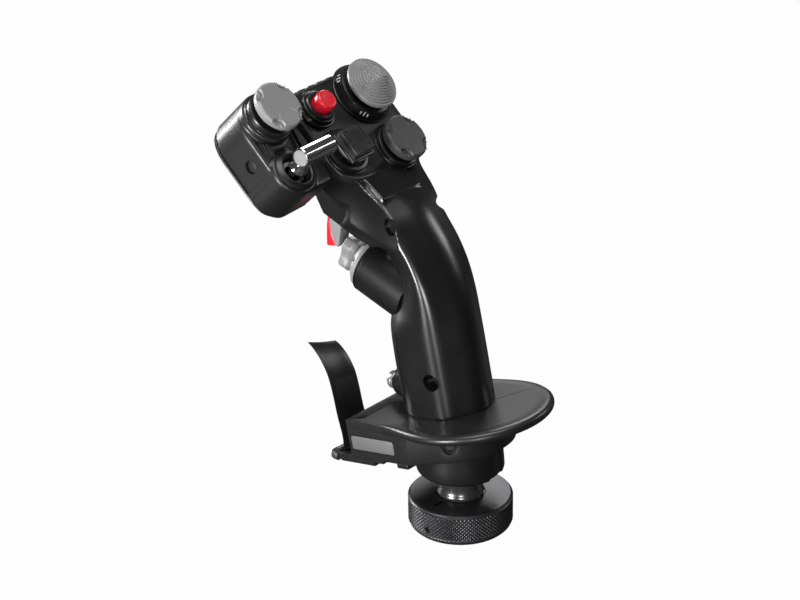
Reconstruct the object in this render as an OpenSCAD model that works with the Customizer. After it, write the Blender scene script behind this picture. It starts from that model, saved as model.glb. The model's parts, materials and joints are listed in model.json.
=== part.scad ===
/* [Mount] */
// Outer diameter of the knurled locking ring
ring_d = 52; // [48:1:60]
// Height of the locking ring
ring_h = 16.5; // [14:0.5:20]
// Inner diameter of the ring's thread
thread_d = 33.8; // [31:0.1:37]
// Depth of the thread in the ring
thread_l = 9; // [7:0.5:10]
// Diameter of the neck that the ring turns on
neck_d = 21.6; // [20:0.2:24]
// Height of the collar's underside above the ring's base
collar_z = 30.5; // [28:0.5:36]
// Diameter of the collar at its underside
collar_d = 43.5; // [38:0.5:48]
/* [Base] */
// Height of the tilted base above the ring's base
base_z = 44; // [42:0.5:50]
// Forward lean of everything above the collar
lean = 12; // [8:1:16]
// Diameter of the round body under the hand rest
hub_d = 56; // [52:1:60]
// Width of the block in front
block_w = 67; // [60:1:74]
// Distance from the axis to the block's front
block_y = 42; // [38:1:48]
// Height of the block
block_h = 15; // [13:0.5:18]
// Outer radius of the hand rest
rest_r = 38.6; // [36:0.2:44]
// Distance that the hand rest's centre lies behind the axis
rest_back = 13.5; // [8:0.5:18]
// Thickness of the hand rest
rest_t = 5; // [4:0.5:7]
/* [Paddle] */
// Width of the paddle lever
paddle_w = 18.4; // [16:0.2:24]
// Distance from the middle plane to the paddle's middle
paddle_x = 18.2; // [17:0.2:21]
// Height of the paddle above its pin
paddle_h = 65; // [52:1:68]
// Thickness of the paddle blade
paddle_t = 1.6; // [1.2:0.1:2.4]
/* [Grip] */
// Half width of the grip
grip_a = 19.8; // [17:0.2:22]
// Depth of the grip from front to back at its foot
grip_b = 44; // [42:0.5:50]
// Wall of the grip shells and the head
wall = 2.4; // [2:0.1:3]
// Diameter of the screws that join the shells
screw_d = 8.8; // [7:0.2:9.4]
/* [Head] */
// Width of the head
head_w = 60; // [56:0.5:64]
// Thickness of the head
head_t = 24; // [22:0.5:28]
// Backward tilt of the head's face
face_tilt = 45; // [40:1:50]
// Twist of the head to the left
face_yaw = 5; // [0:1:8]
/* [Hats] */
// Diameter of the stepped trim hat
trim_d = 27.4; // [26:0.2:30]
// Diameter of the castle hats
castle_d = 24.5; // [23:0.5:26]
// Diameter of the release button
release_d = 10.6; // [9:0.2:12]
// Diameter of the toggle's barrel
barrel_d = 9.2; // [8:0.2:11]
// Length of the toggle's barrel
barrel_l = 21.5; // [18:0.5:24]
/* [Front] */
// Diameter of the front boss
boss_d = 30; // [28:0.5:32]
// Width of the four-cornered knob
knob_w = 17.5; // [15:0.5:19]
// Diameter of the lower front button
pinky_d = 9; // [8:0.2:11]
/* [Fits] */
// Radial clearance of pins and plungers
slip = 0.05; // [0.02:0.01:0.08]
// Gap between moving pieces that don't guide each other
gap = 0.4; // [0.3:0.05:0.6]

/* [Hidden] */
$fn = 64;
eps = 0.01;

neck_r = neck_d / 2;
ring_top = 4;                       // wall that closes the ring round the neck
flange_t = 2.6;                     // flange that keeps the ring on the stub
cable_r = 6.8;                      // bore for the connector and the wires
key_w = 3.2;                        // flat cut in the collar

rest_z = block_h;                   // underside of the hand rest in the tilted frame
deck = block_h + rest_t;            // top of the hand rest, where the grip stands

plate_z = 4.6;                      // nameplate above the block's underside
pin_y = block_y + 14;               // the paddle's pin in the tilted frame
pin_z = -1.5;
pin_r = 1.5;
lug_t = 3;
lug_gap = 0.4;
lug_in = paddle_w / 2 + lug_gap;

// Stations of the grip: height, back, front, half width and squareness.
foot_y = 2.8;
screw_l = 26;
SCREWS = [[-6.4, deck + 19], [5, 115.2]];
function grip_row(z, back, front, a, e) = [z, foot_y - grip_b / 2 + back, foot_y + grip_b / 2 + front,
    a, e];
ROWS = [grip_row(deck, 0, 0, grip_a, 2.4), grip_row(deck + 26, -0.2, 0, grip_a, 2.4),
    grip_row(deck + 50, 0.6, -1.6, grip_a, 2.4), grip_row(deck + 63, 3, -4.8, grip_a + 0.1, 2.45),
    grip_row(deck + 76, 7.4, -6, grip_a + 0.3, 2.6), grip_row(deck + 87, 12.4, 0.5, grip_a + 0.5, 2.8)];
SIDES = 28;

face_x = 15.8;                      // the trim hat's centre on the face, from the ring's base
face_y = 75.5;
face_z = 202.3;
head_c = -13;                       // middle of the head along the face's width
head_low = -44;
head_top = 15.4;
plate_t = 4;

trim_at = [0, 0];
release_at = [-33.8, 1.8];
ribbed_at = [-33.5, -22.5];
black_at = [-1.5, -30.8];
box_right = head_c - head_w / 2 - 5.6; // edge of the thumb box beside the head
box_left = box_right - 32;
gray_at = [box_right - 16.9, 8];
toggle_at = [box_right - 20.4, -19.9];
trim_bezel_r = 16.4;
castle_bezel_r = 12.6;
ribbed_boss_r = 12.9;
pivot_n = -3;                       // depth of the hats' pivots below the face
cross_r = 0.8;                      // gimbal pins
stem_r = 2.4;
ring_in = 4.4;
ring_out = 6;
cup_r = 7;                          // inner radius of a hat's bezel
cup_l = 6;

box_deep = 27;
toggle_n = 0.6;                     // the box's top round the toggle, above the face
boss_r = 13.4;
box_n = 3;                          // top of the thumb box above the face

boss_y = 37.2;
boss_z = 89.5;
boss_up = 29;
boss_len = 30;
flange_h = 5;
trig_y = 47;
trig_z = 119;
trig_r = 1.6;
pinky_z = deck + 8.9;
nut_r = 8.4;
pinky_r = pinky_d / 2;
release_r = release_d / 2;
release_post = 6;                   // height of the button's collar
release_top = 11.6;
loom_r = 1.9;

module leaning() translate([0, 0, base_z]) rotate([-lean, 0, 0]) children();
module on_face(at = [0, 0], n = 0) translate([face_x, face_y, face_z]) rotate([face_tilt, 0, face_yaw])
    translate([at[0], at[1], n]) children();
module on_boss() leaning() translate([0, boss_y, boss_z]) rotate([boss_up - 90, 0, 0]) children();
module tube(r, bore, h) difference() {
    cylinder(r = r, h = h);
    translate([0, 0, -1]) cylinder(r = bore, h = h + 2);
}
module across(r, l) rotate([0, 90, 0]) cylinder(r = r, h = l, center = true, $fn = 32);
module along(r, l) rotate([90, 0, 0]) cylinder(r = r, h = l, center = true, $fn = 32);
module coil(r, wire, h, turns) for (k = [0:turns - 1]) translate([0, 0, wire + k * (h - 2 * wire)
    / (turns - 1)])
    rotate_extrude($fn = 32) translate([r - wire, 0]) circle(wire, $fn = 16);

// The grip and head are one skin through rings of points, each ring in its own plane.
function pw(v, e) = sign(v) * pow(abs(v), 2 / e);
function turn_x(p, a) = [p[0], p[1] * cos(a) - p[2] * sin(a), p[1] * sin(a) + p[2] * cos(a)];
function turn_z(p, a) = [p[0] * cos(a) - p[1] * sin(a), p[0] * sin(a) + p[1] * cos(a), p[2]];
function to_grip(p) = turn_x(turn_z(turn_x(p, face_tilt), face_yaw) + [face_x, face_y,
    face_z - base_z], lean);
function grip_ring(row, in) = [for (k = [0:SIDES - 1]) let(t = 360 * k / SIDES)
    [(row[3] - in) * pw(cos(t), row[4]), (row[1] + row[2]) / 2 + ((row[2] - row[1]) / 2 - in)
        * pw(sin(t), row[4]),
    row[0]]];
function head_ring(f, a, t, e, in) = let(low = in - t, high = in > 0 ? -1 : 0)
    [for (k = [0:SIDES - 1]) let(q = 360 * k / SIDES)
    to_grip([head_c + (a - in) * pw(cos(q), e), f, (low + high) / 2 - (high - low) / 2 * pw(sin(q), e)])];
// A ring that tips between the last grip station and the head.
function neck_ring(low, high, a, c, e, in) = let(mid = (low + high) / 2, half = (high - low) / 2,
    k1 = (norm(half) - in) / norm(half)) [for (k = [0:SIDES - 1]) let(t = 360 * k / SIDES,
        s = pw(sin(t), e) * k1)
    [c + (a - in) * pw(cos(t), e), mid[0] + half[0] * s, mid[1] + half[1] * s]];
NECK_LOW = [6, 125.5];
NECK_HIGH = [42.5, 116.5];
module skin(rings) {
    last = len(rings) - 1;
    polyhedron(points = [for (r = rings) each r], faces = concat(
        [[for (k = [0:SIDES - 1]) k]], [[for (k = [SIDES - 1:-1:0]) last * SIDES + k]],
        [for (j = [0:last - 1], k = [0:SIDES - 1]) let(m = (k + 1) % SIDES)
            [j * SIDES + k, (j + 1) * SIDES + k, (j + 1) * SIDES + m]],
        [for (j = [0:last - 1], k = [0:SIDES - 1]) let(m = (k + 1) % SIDES)
            [j * SIDES + k, (j + 1) * SIDES + m, j * SIDES + m]]));
}
function grip_rings(in) = concat([for (row = ROWS) grip_ring(row, in)],
    [neck_ring(NECK_LOW, NECK_HIGH, 21.5, 1, 3.4, in)]);
function head_rings(in) = concat([neck_ring(NECK_LOW, NECK_HIGH, 21.5, 1, 3.4, in)],
    [head_ring(-38, head_w / 2 - 3, head_t + 2, 4, in), head_ring(-24, head_w / 2 - 0.5, head_t + 0.5,
        4.5, in),
    head_ring(head_top - 8, head_w / 2, head_t, 5, in), head_ring(head_top - 2.5, head_w / 2 - 1,
        head_t, 4.5, in),
    head_ring(head_top - in, head_w / 2 - 3.5, head_t, 4, in)]);

module locking_ring() color("#2b2b2d") difference() {
    union() {
        cylinder(d = ring_d - 1.6, h = 2);
        translate([0, 0, 1.5]) cylinder(d = ring_d, h = ring_h - 2);
        cylinder(d = ring_d - 1, h = ring_h);
    }
    translate([0, 0, -1]) cylinder(d = thread_d, h = thread_l + 1);
    translate([0, 0, thread_l - eps]) cylinder(d = thread_d + 0.8, h = ring_h - ring_top - thread_l + eps);
    cylinder(r = neck_r + slip, h = ring_h + 1);
    rotate([0, 0, 179]) translate([neck_r + 4.6, 0, ring_h]) cube([6, 1.6, 2], center = true);
    rotate([0, 0, 181]) translate([ring_d / 2, 0, 6.2]) across(1.5, 8);
}
module ring_screw() color("#161616") rotate([0, 0, 181]) translate([ring_d / 2 - 2.6, 0, 6.2])
    difference() {
    across(1.45, 2.6);
    translate([1.3, 0, 0]) across(0.7, 1.6);
}
module mount_stub() color("#3a3a3c") difference() {
    union() {
        translate([0, 0, thread_l + 0.35]) cylinder(d = thread_d - 0.6, h = flange_t - 0.1);
        translate([0, 0, thread_l + 0.35]) cylinder(r = neck_r, h = collar_z - thread_l - 0.35);
        translate([0, 0, ring_h + 0.6]) cylinder(r = neck_r + 0.7, h = 1.2);
        translate([0, 0, collar_z - 2.5]) cylinder(r1 = neck_r, r2 = neck_r + 1.2, h = 2.5);
    }
    translate([0, 0, thread_l]) cylinder(r = cable_r, h = collar_z);
}
module connector_body() color("#4a4a4a") translate([0, 0, thread_l + 0.6]) difference() {
    cylinder(r = cable_r - 0.05, h = 9);
    translate([0, 0, -eps]) cylinder(r = cable_r - 1.1, h = 4.2);
    for (k = [0:4]) rotate([0, 0, 60 * k - 120]) translate([3.6, 0, 0]) cylinder(r = 0.55, h = 10,
        $fn = 16);
}
module connector_pins() color("#c9a24a") translate([0, 0, thread_l + 1.2]) for (k = [0:4])
    rotate([0, 0, 60 * k - 120]) translate([3.6, 0, 0]) cylinder(r = 0.5, h = 8.6, $fn = 16);
module collar() color("#303032") difference() {
    union() {
        translate([0, 0, collar_z]) cylinder(d1 = collar_d, d2 = collar_d - 2, h = base_z - collar_z - 6.2);
        translate([0, 0, base_z - 6.2]) cylinder(d = collar_d - 2, h = 20);
    }
    leaning() translate([-50, -50, 0]) cube([100, 100, 60]);
    translate([0, 0, collar_z - 1]) cylinder(r = cable_r + 1.2, h = 40);
    rotate([0, 0, -92]) translate([collar_d / 2, 0, collar_z + 6]) cube([2.4, key_w, 20], center = true);
}
module hub_shape(h) union() {
    cylinder(d = hub_d, h = h);
    translate([-block_w / 2, 3, 0]) cube([block_w, block_y - 3, h]);
}
module base_block() color("#29292b") leaning() difference() {
    hub_shape(block_h);
    translate([0, 0, -1]) cylinder(r = cable_r + 1.2, h = block_h + 2);
    translate([-block_w / 2 - 1, block_y - 30, plate_z - 0.2]) cube([1.6, 28.4, 7.4]);
    for (a = [213, -33]) rotate([0, 0, a]) translate([hub_d / 2 - 1, 0, block_h - 6]) across(4.3, 14);
    translate([-paddle_x - 5.2, block_y - 9.2, 0.8]) cube([10.4, 10, 7.4]);
    translate([-paddle_x, block_y - 5, 12]) along(2.6, 12);
}
side_dx = rest_r - rest_t / 2 - block_w / 2 + 1.5;
side_dy = 24 + rest_back;
side_a = atan(side_dx / side_dy);
side_l = norm([side_dx, side_dy]);
module hand_rest() color("#3b3b3d") leaning() difference() {
    union() {
        translate([0, 0, rest_z]) linear_extrude(rest_t) difference() {
            union() {
                translate([0, -rest_back]) circle(rest_r - 2.5, $fn = 96);
                polygon([[-rest_r + 2.5, -rest_back], [rest_r - 2.5, -rest_back], [block_w / 2, 24],
                    [block_w / 2, block_y], [-block_w / 2, block_y], [-block_w / 2, 24]]);
            }
            circle(r = cable_r + 1.2);
        }
        translate([0, -rest_back, rest_z + rest_t / 2]) rotate([0, 0, 180])
            rotate_extrude(angle = 180, $fn = 96)
            translate([rest_r - rest_t / 2, 0]) circle(rest_t / 2, $fn = 32);
        for (s = [-1, 1]) translate([s * (rest_r - rest_t / 2), -rest_back, rest_z + rest_t / 2]) {
            sphere(rest_t / 2, $fn = 32);
            rotate([-90, 0, s * side_a]) cylinder(d = rest_t, h = side_l, $fn = 32);
        }
    }
}
module nameplate() color("#b9b9bb") leaning() translate([-block_w / 2 - 0.2, block_y - 29.8, plate_z])
    cube([0.8, 28, 7]);
module base_screws() color("#161616") leaning() for (a = [213, -33]) rotate([0, 0, a])
    translate([hub_d / 2 - 4.6, 0, block_h - 6]) difference() {
        across(4.2, 6);
        translate([3, 0, 0]) rotate([0, 90, 0]) cylinder(r = 1.5, h = 4, center = true, $fn = 6);
    }
module hinge_bracket() color("#1c1c1e") leaning() difference() {
    union() {
        translate([-paddle_x - lug_in - lug_t, 24, -2.6]) cube([2 * (lug_in + lug_t), block_y - 24, 2.55]);
        for (s = [-1, 1]) translate([-paddle_x + s * (lug_in + lug_t / 2), 0, 0]) {
            translate([-lug_t / 2, block_y - 12, -4.4]) cube([lug_t, 23, 4.3]);
            translate([0, pin_y, pin_z]) across(3.2, lug_t);
        }
        translate([-paddle_x - 10, block_y - 13, -3.6]) cube([20, 13, 1.2]);
    }
    translate([-paddle_x, pin_y, pin_z]) across(pin_r + slip, 60);
}
module paddle_pin() color("#c4c4c6") leaning() translate([-paddle_x, pin_y, pin_z]) {
    across(pin_r, 2 * (lug_in + lug_t) + 1.2);
    for (s = [-1, 1]) translate([s * (lug_in + lug_t + 1), 0, 0]) rotate([0, 90, 0])
        cylinder(r = 2.1, h = 1.6, center = true, $fn = 6);
}
// The paddle's middle line: straight off the pin, then curving forward to the lip.
blade_bend = 0.42 * paddle_h;
blade_r = 62;
lip_a = 26;
lip_slant = 20;                     // the lip's edge falls to the right
module paddle_lever() color("#141416") leaning() translate([-paddle_x, pin_y, pin_z]) difference() {
    rotate([90, 0, 90]) linear_extrude(paddle_w, center = true) union() {
        circle(3);
        polygon([[-3, 0], [-1.4, 0], [-1.4, 6], [-1.2, blade_bend], [-1.2 - paddle_t, blade_bend],
            [-3, 6]]);
        translate([blade_r - 1.2, blade_bend]) difference() {
            circle(blade_r + paddle_t, $fn = 160);
            circle(blade_r, $fn = 160);
            translate([-200, -400]) square([400, 400]);
            translate([-blade_r * cos(lip_a), -50]) square([200, 200]);
            translate([-200, paddle_h - blade_bend]) square([400, 200]);
        }
    }
    across(pin_r + slip, 40);
    translate([-paddle_w / 2 - 1, -50, paddle_h + 0.3]) rotate([0, lip_slant, 0]) cube([60, 200, 40]);
}
module paddle_spring() color("#8c8c8e") leaning() translate([-paddle_x + paddle_w / 2 - 5,
    pin_y - 4.6, 2]) rotate([90, 0, 0])
    coil(2, 0.35, pin_y - 5 - block_y, 5);
module paddle_switch() color("#1a1a1a") leaning() {
    translate([-paddle_x - 5, block_y - 9, 1]) cube([10, 8.6, 7]);
    translate([-paddle_x - 1, block_y - 0.5, 3.4]) cube([2, 1.4, 2.2]);
}
module shell_cuts() {
    for (p = SCREWS) translate([0, p[0], p[1]]) across(screw_d / 2 + 0.1, 120);
    translate([0, foot_y + grip_b / 2, pinky_z]) along(pinky_r + 1.2, 16);
    translate([0, boss_y, boss_z]) rotate([boss_up - 90, 0, 0]) translate([0, 0, -40])
        cylinder(r = boss_d / 2 + eps, h = 60);
    translate([-5.9, 20, 88]) cube([11.8, 50, 40]);
}
module grip_solid() difference() {
    skin(grip_rings(0));
    skin([for (k = [0:len(ROWS)]) let(r = grip_rings(wall)[k]) k == 0 ? [for (p = r) p - [0, 0, 5]]
        : k == len(ROWS) ? [for (p = r) p + [0, 1, 4]] : r]);
    shell_cuts();
}
module grip_left_shell() color("#232325") leaning() intersection() {
    grip_solid();
    translate([-100, -100, 0]) cube([100, 300, 200]);
}
module grip_right_shell() color("#232325") leaning() intersection() {
    grip_solid();
    translate([0, -100, 0]) cube([100, 300, 200]);
}
module shell_screws() color("#111111") leaning() for (p = SCREWS) translate([0, p[0], p[1]]) difference() {
    across(screw_d / 2, screw_l);
    translate([-screw_l / 2, 0, 0]) rotate([0, 90, 0]) cylinder(r = 2, h = 5, center = true, $fn = 6);
}
module head_housing() color("#232325") difference() {
    union() {
        leaning() skin(head_rings(0));
        on_face(ribbed_at, -plate_t - 12) cylinder(r = ribbed_boss_r, h = 12);
    }
    leaning() {
        skin([for (k = [0:5]) let(r = head_rings(wall)[k]) k == 0 ? [for (p = r) p - [0, 1, 4]] : r]);
        translate([-5.9, 20, 88]) cube([11.8, 32, 38]);
        for (p = SCREWS) translate([0, p[0], p[1]]) across(screw_d / 2 + 0.1, 60);
    }
    on_face() translate([-100, head_low + 4, -plate_t]) cube([200, 80, 40]);
    on_face(black_at) cylinder(r = castle_bezel_r + 0.1, h = 20);
    on_face(ribbed_at, -cup_l - 8) cylinder(r = cup_r + 1.6, h = 20);
}
module plate_outline(in) polygon([for (k = [0:SIDES - 1]) let(t = 360 * k / SIDES)
    [head_c + (head_w / 2 - in) * pw(cos(t), 4.5),
    (head_top + head_low) / 2 + 2 + ((head_top - head_low) / 2 - 2 - in) * pw(sin(t), 4.5)]]);
module face_plate() color("#3f3f41") on_face([0, 0], -plate_t) difference() {
    union() {
        linear_extrude(plate_t) plate_outline(0.5);
        translate([ribbed_at[0], ribbed_at[1], 0]) cylinder(r = ribbed_boss_r, h = plate_t);
    }
    for (at = [trim_at, ribbed_at, black_at]) translate([at[0], at[1], -1]) cylinder(r = cup_r + 1.5,
        h = plate_t + 2);
    translate([release_at[0], release_at[1], -1]) cylinder(r = release_r + 0.4, h = plate_t + 2);
}
module box_outline(grow) {
    translate(gray_at) circle(r = boss_r + grow);
    translate(toggle_at) circle(r = 12.2 + grow);
    translate([box_left - grow, toggle_at[1]]) square([box_right - box_left + 2 * grow,
        gray_at[1] - toggle_at[1]]);
    translate([gray_at[0], toggle_at[1] - 12.2 - grow])
        square([box_right - gray_at[0] + grow, gray_at[1] - toggle_at[1] + 12.2 + boss_r + 2 * grow]);
    translate([box_left + 3.5 - grow, toggle_at[1] - 8.6 - grow]) square([20, 20]);
}
module box_shape(grow, deep, top) union() {
    translate([0, 0, -deep]) linear_extrude(deep + top - box_n + toggle_n) box_outline(grow);
    translate([gray_at[0], gray_at[1], -deep]) cylinder(r = boss_r + grow, h = deep + top);
}
module thumb_box() color("#333335") on_face([0, 0], box_n) difference() {
    box_shape(0, box_deep - 1.8, 0);
    translate([0, 0, -wall]) box_shape(-wall, box_deep, 0);
    for (at = [gray_at, toggle_at]) translate([at[0], at[1], -12]) cylinder(r = cup_r + 1.5, h = 14);
    translate([box_left, (gray_at[1] + toggle_at[1]) / 2 - 1, -13.4]) across(3.3, 8);
    translate([box_right, -10, -16]) across(3, 8);
}
module thumb_box_cover() color("#48484a") on_face([0, 0], box_n - box_deep) linear_extrude(1.75)
    box_outline(0);
module box_screws() color("#111111") on_face([0, 0], box_n) {
    translate([box_left + wall + 0.7, (gray_at[1] + toggle_at[1]) / 2 - 1, -13.4]) across(3.2, 2.4);
    for (at = [gray_at, toggle_at]) translate([at[0], at[1], -box_deep - 0.9]) cylinder(r = 2.2,
        h = 0.9, $fn = 24);
}
// A hat sits on a bezel, with a gimbal ring that tips about X and a stem that tips about Y.
module cup(flange, h) difference() {
    union() {
        cylinder(r = flange, h = h);
        translate([0, 0, -cup_l]) cylinder(r = cup_r + 1.45, h = cup_l + h);
    }
    translate([0, 0, -cup_l - 1]) cylinder(r = cup_r, h = cup_l + h + 2);
    translate([0, 0, pivot_n]) across(cross_r + slip, 30);
}
module gimbal() translate([0, 0, pivot_n]) difference() {
    union() {
        translate([0, 0, -1.1]) cylinder(r = ring_out, h = 2.2);
        across(cross_r, 2 * cup_r + 1.2);
    }
    cylinder(r = ring_in, h = 4, center = true);
    along(cross_r + slip, 20);
}
module stem(top) {
    translate([0, 0, pivot_n - 2]) cylinder(r = stem_r, h = top - pivot_n + 2);
    translate([0, 0, pivot_n]) along(cross_r, 2 * ring_out - 0.6);
}
module castle(d, base, h) difference() {
    union() {
        translate([0, 0, base]) cylinder(d = d - 1.2, h = h);
        translate([0, 0, base + 0.5]) cylinder(d = d, h = h - 1);
    }
    for (k = [0:3]) rotate([0, 0, 90 * k + 45]) translate([d / 2 + 2, 0, base + h + 1])
        sphere(r = 5.2, $fn = 32);
}
module trim_bezel() color("#141416") on_face(trim_at) cup(trim_bezel_r, 3);
module trim_gimbal() color("#6b6b6b") on_face(trim_at) gimbal();
trim_base = 8.6;
module trim_hat() color("#9b9b9d") on_face(trim_at) {
    stem(trim_base + 1);
    translate([0, 0, trim_base]) cylinder(d = trim_d, h = 3);
    for (k = [0:9]) translate([0, 0, trim_base + 3 + 0.85 * k - eps])
        cylinder(r = trim_d / 2 - 0.6 - 1.13 * k, h = 0.86, $fn = 48);
}
module release_collar() color("#242426") on_face(release_at) difference() {
    union() {
        cylinder(r = 10.2, h = 2);
        cylinder(r = 8.9, h = release_post - 1.6);
        cylinder(r = 7.9, h = release_post);
    }
    translate([0, 0, 1.5]) cylinder(r = release_r + slip, h = 20);
    translate([0, 0, -1]) cylinder(r = 2.4, h = 20);
}
module release_button() color("#d3182a") on_face(release_at) {
    translate([0, 0, 4]) cylinder(r = release_r, h = release_top - 5);
    translate([0, 0, release_top - 1 - eps]) cylinder(r1 = release_r, r2 = release_r - 0.9, h = 1);
}
module release_spring() color("#8c8c8e") on_face(release_at, 1.5) coil(3.6, 0.25, 2.5, 4);
module ribbed_bezel() color("#1b1b1d") on_face(ribbed_at) cup(12.4, 3);
module ribbed_gimbal() color("#6b6b6b") on_face(ribbed_at) gimbal();
module ribbed_hat() color("#2a2a2c") on_face(ribbed_at) {
    translate([0, 0, 6.8]) linear_extrude(1.8) square([16.4, 16.4], center = true);
    translate([0, 0, 8.6 - eps]) linear_extrude(2.4) square([13.4, 14.4], center = true);
    for (k = [0:10]) translate([-6 + 1.2 * k, 0, 10.9]) cube([0.7, 13.4, 2], center = true);
}
module ribbed_base() color("#b4b4b4") on_face(ribbed_at) {
    stem(5);
    translate([0, 0, 4.9]) cylinder(r = 8.6, h = 1.9);
}
module black_bezel() color("#1b1b1d") on_face(black_at) cup(castle_bezel_r, 3.4);
module black_gimbal() color("#6b6b6b") on_face(black_at) gimbal();
module black_hat() color("#4a4a4c") on_face(black_at) {
    stem(6);
    castle(castle_d - 1, 5.9, 4.6);
}
module gray_bezel() color("#1b1b1d") on_face(gray_at, box_n) cup(castle_bezel_r, 4);
module gray_gimbal() color("#6b6b6b") on_face(gray_at, box_n) gimbal();
module gray_hat() color("#9d9d9f") on_face(gray_at, box_n) {
    stem(7.8);
    castle(castle_d, 7, 4.4);
}
module toggle_bezel() color("#242426") on_face(toggle_at, toggle_n) cup(10.6, 2.2);
module toggle_gimbal() color("#6b6b6b") on_face(toggle_at, toggle_n) gimbal();
barrel_n = 17.4;
module toggle_stem() color("#c8c8ca") on_face(toggle_at, toggle_n) {
    stem(8);
    translate([0, 0, 3]) cylinder(r1 = 4, r2 = 2.6, h = 5.5);
    translate([0, 0, 8]) cylinder(r = 2.2, h = barrel_n - 8 - barrel_d / 2 + 0.4);
}
module toggle_barrel() color("#d8d8da") on_face(toggle_at, toggle_n + barrel_n) difference() {
    union() {
        across(barrel_d / 2 - 0.4, barrel_l);
        across(barrel_d / 2, barrel_l - 0.8);
    }
    translate([0, 0, -barrel_n + 7]) cylinder(r = 2.25, h = barrel_n - 7 - barrel_d / 2 + 0.45);
}
module front_boss() color("#222224") on_boss() difference() {
    translate([0, 0, -boss_len]) cylinder(d = boss_d, h = boss_len);
    translate([0, 0, -boss_len - 1]) cylinder(d = boss_d - 2 * wall, h = boss_len - 2);
    translate([0, 0, -4]) cylinder(r = cup_r + 1.5, h = 5);
}
module front_flange() color("#8f8f91") on_boss() difference() {
    union() {
        cylinder(r = boss_d / 2 - 1, h = flange_h - 1.5);
        translate([0, 0, flange_h - 1.5 - eps]) cylinder(r1 = boss_d / 2 - 1, r2 = boss_d / 2 - 3.5,
            h = 1.5);
        translate([0, 0, -cup_l]) cylinder(r = cup_r + 1.45, h = cup_l + 1);
    }
    translate([0, 0, -cup_l - 1]) cylinder(r = cup_r, h = cup_l + 10);
    translate([0, 0, pivot_n]) across(cross_r + slip, 30);
    for (k = [0:3]) rotate([0, 0, 90 * k]) translate([9.8, 0, flange_h]) cube([2.4, 6, 3], center = true);
}
module front_gimbal() color("#6b6b6b") on_boss() gimbal();
module front_knob() color("#cfcfd1") on_boss() difference() {
    union() {
        stem(flange_h + 3);
        translate([0, 0, flange_h + 2.3]) linear_extrude(7.9) intersection() {
            square(knob_w, center = true);
            circle(d = knob_w * 1.32);
        }
    }
    for (k = [0:3]) rotate([0, 0, 90 * k]) translate([knob_w / 2 + 4, 0, flange_h + 11.8]) rotate([0,
        90, 0])
        cylinder(r = 4.6, h = 12, center = true);
}
// Points of the trigger in its own plane, forward and up from its pin.
TRIGGER_FACE = [[9.5, -2.8], [11.9, -8], [11.9, -15], [10.4, -20.8]];
TRIGGER_BACK = [[8.8, -21.2], [7.4, -18], [5.4, -13], [2.5, -7], [-3, -2], [-2, 3], [3, 2.5]];
BLADE_FRONT = [[17.2, -20.8], [15.9, -15], [14.6, -10], [12.6, -4.6]];
module trigger_body() color("#a9a9ab") leaning() translate([0, trig_y, trig_z]) difference() {
    union() {
        across(4, 7.6);
        rotate([90, 0, 90]) linear_extrude(7.6, center = true) polygon(concat(TRIGGER_FACE, TRIGGER_BACK));
    }
    across(trig_r + slip, 20);
}
module trigger_blade() color("#b01022") leaning() translate([0, trig_y, trig_z]) rotate([90, 0, 90])
    linear_extrude(7, center = true) polygon(concat(TRIGGER_FACE, BLADE_FRONT));
module trigger_pin() color("#c4c4c6") leaning() translate([0, trig_y, trig_z]) across(trig_r, 11);
module trigger_bracket() color("#2a2a2c") leaning() difference() {
    union() {
        for (s = [-1, 1]) translate([s * 4.8 - 0.8, 27, trig_z - 8]) cube([1.6, trig_y - 27 + 3, 11]);
        translate([-5.6, 24.5, trig_z - 8]) cube([11.2, 3, 11]);
    }
    translate([0, trig_y, trig_z]) across(trig_r + slip, 20);
}
module trigger_spring() color("#8c8c8e") leaning() translate([0, trig_y - 9.5, trig_z - 9])
    rotate([-90, 0, 0])
    coil(1.8, 0.3, 4.5, 4);
module trigger_switch() color("#1a1a1a") leaning() translate([-3, trig_y - 17.5, trig_z - 13])
    cube([6, 7, 9]);
module pinky_collar() color("#151517") leaning() translate([0, foot_y + grip_b / 2 - 4, pinky_z])
    rotate([-90, 0, 0])
    difference() {
        union() {
            cylinder(r = pinky_r + 1.1, h = 7);
            translate([0, 0, 6]) cylinder(r = nut_r, h = 4);
            translate([0, 0, 10 - eps]) cylinder(r1 = nut_r, r2 = nut_r - 1.6, h = 2);
        }
        translate([0, 0, 1.2]) cylinder(r = pinky_r + slip, h = 20);
        translate([0, 0, -1]) cylinder(r = 2, h = 20);
    }
module pinky_button() color("#c2c2c4") leaning() translate([0, foot_y + grip_b / 2, pinky_z])
    rotate([-90, 0, 0]) {
    translate([0, 0, 1]) cylinder(r = pinky_r, h = 12.4);
    translate([0, 0, 13.4 - eps]) cylinder(r1 = pinky_r, r2 = pinky_r - 0.6, h = 0.6);
}
module pinky_spring() color("#8c8c8e") leaning() translate([0, foot_y + grip_b / 2 - 2.8, pinky_z])
    rotate([-90, 0, 0])
    coil(3, 0.3, 3.8, 4);
module grip_board() color("#1f5a35") leaning() translate([-10, -8.8, deck + 24]) cube([20, 1.6, 44]);
module head_board() color("#1f5a35") on_face([0, 0], -16) difference() {
    translate([head_c - 20, -26, 0]) cube([40, 36, 1.6]);
    translate([head_c, -20, -1]) cylinder(r = 3, h = 4);
}
module wiring_loom() color("#202020") {
    translate([0, 0, collar_z - 11]) cylinder(r = loom_r, h = base_z - collar_z + 11);
    leaning() translate([0, 0, -0.4]) cylinder(r = loom_r, h = deck + 68);
}

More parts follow.
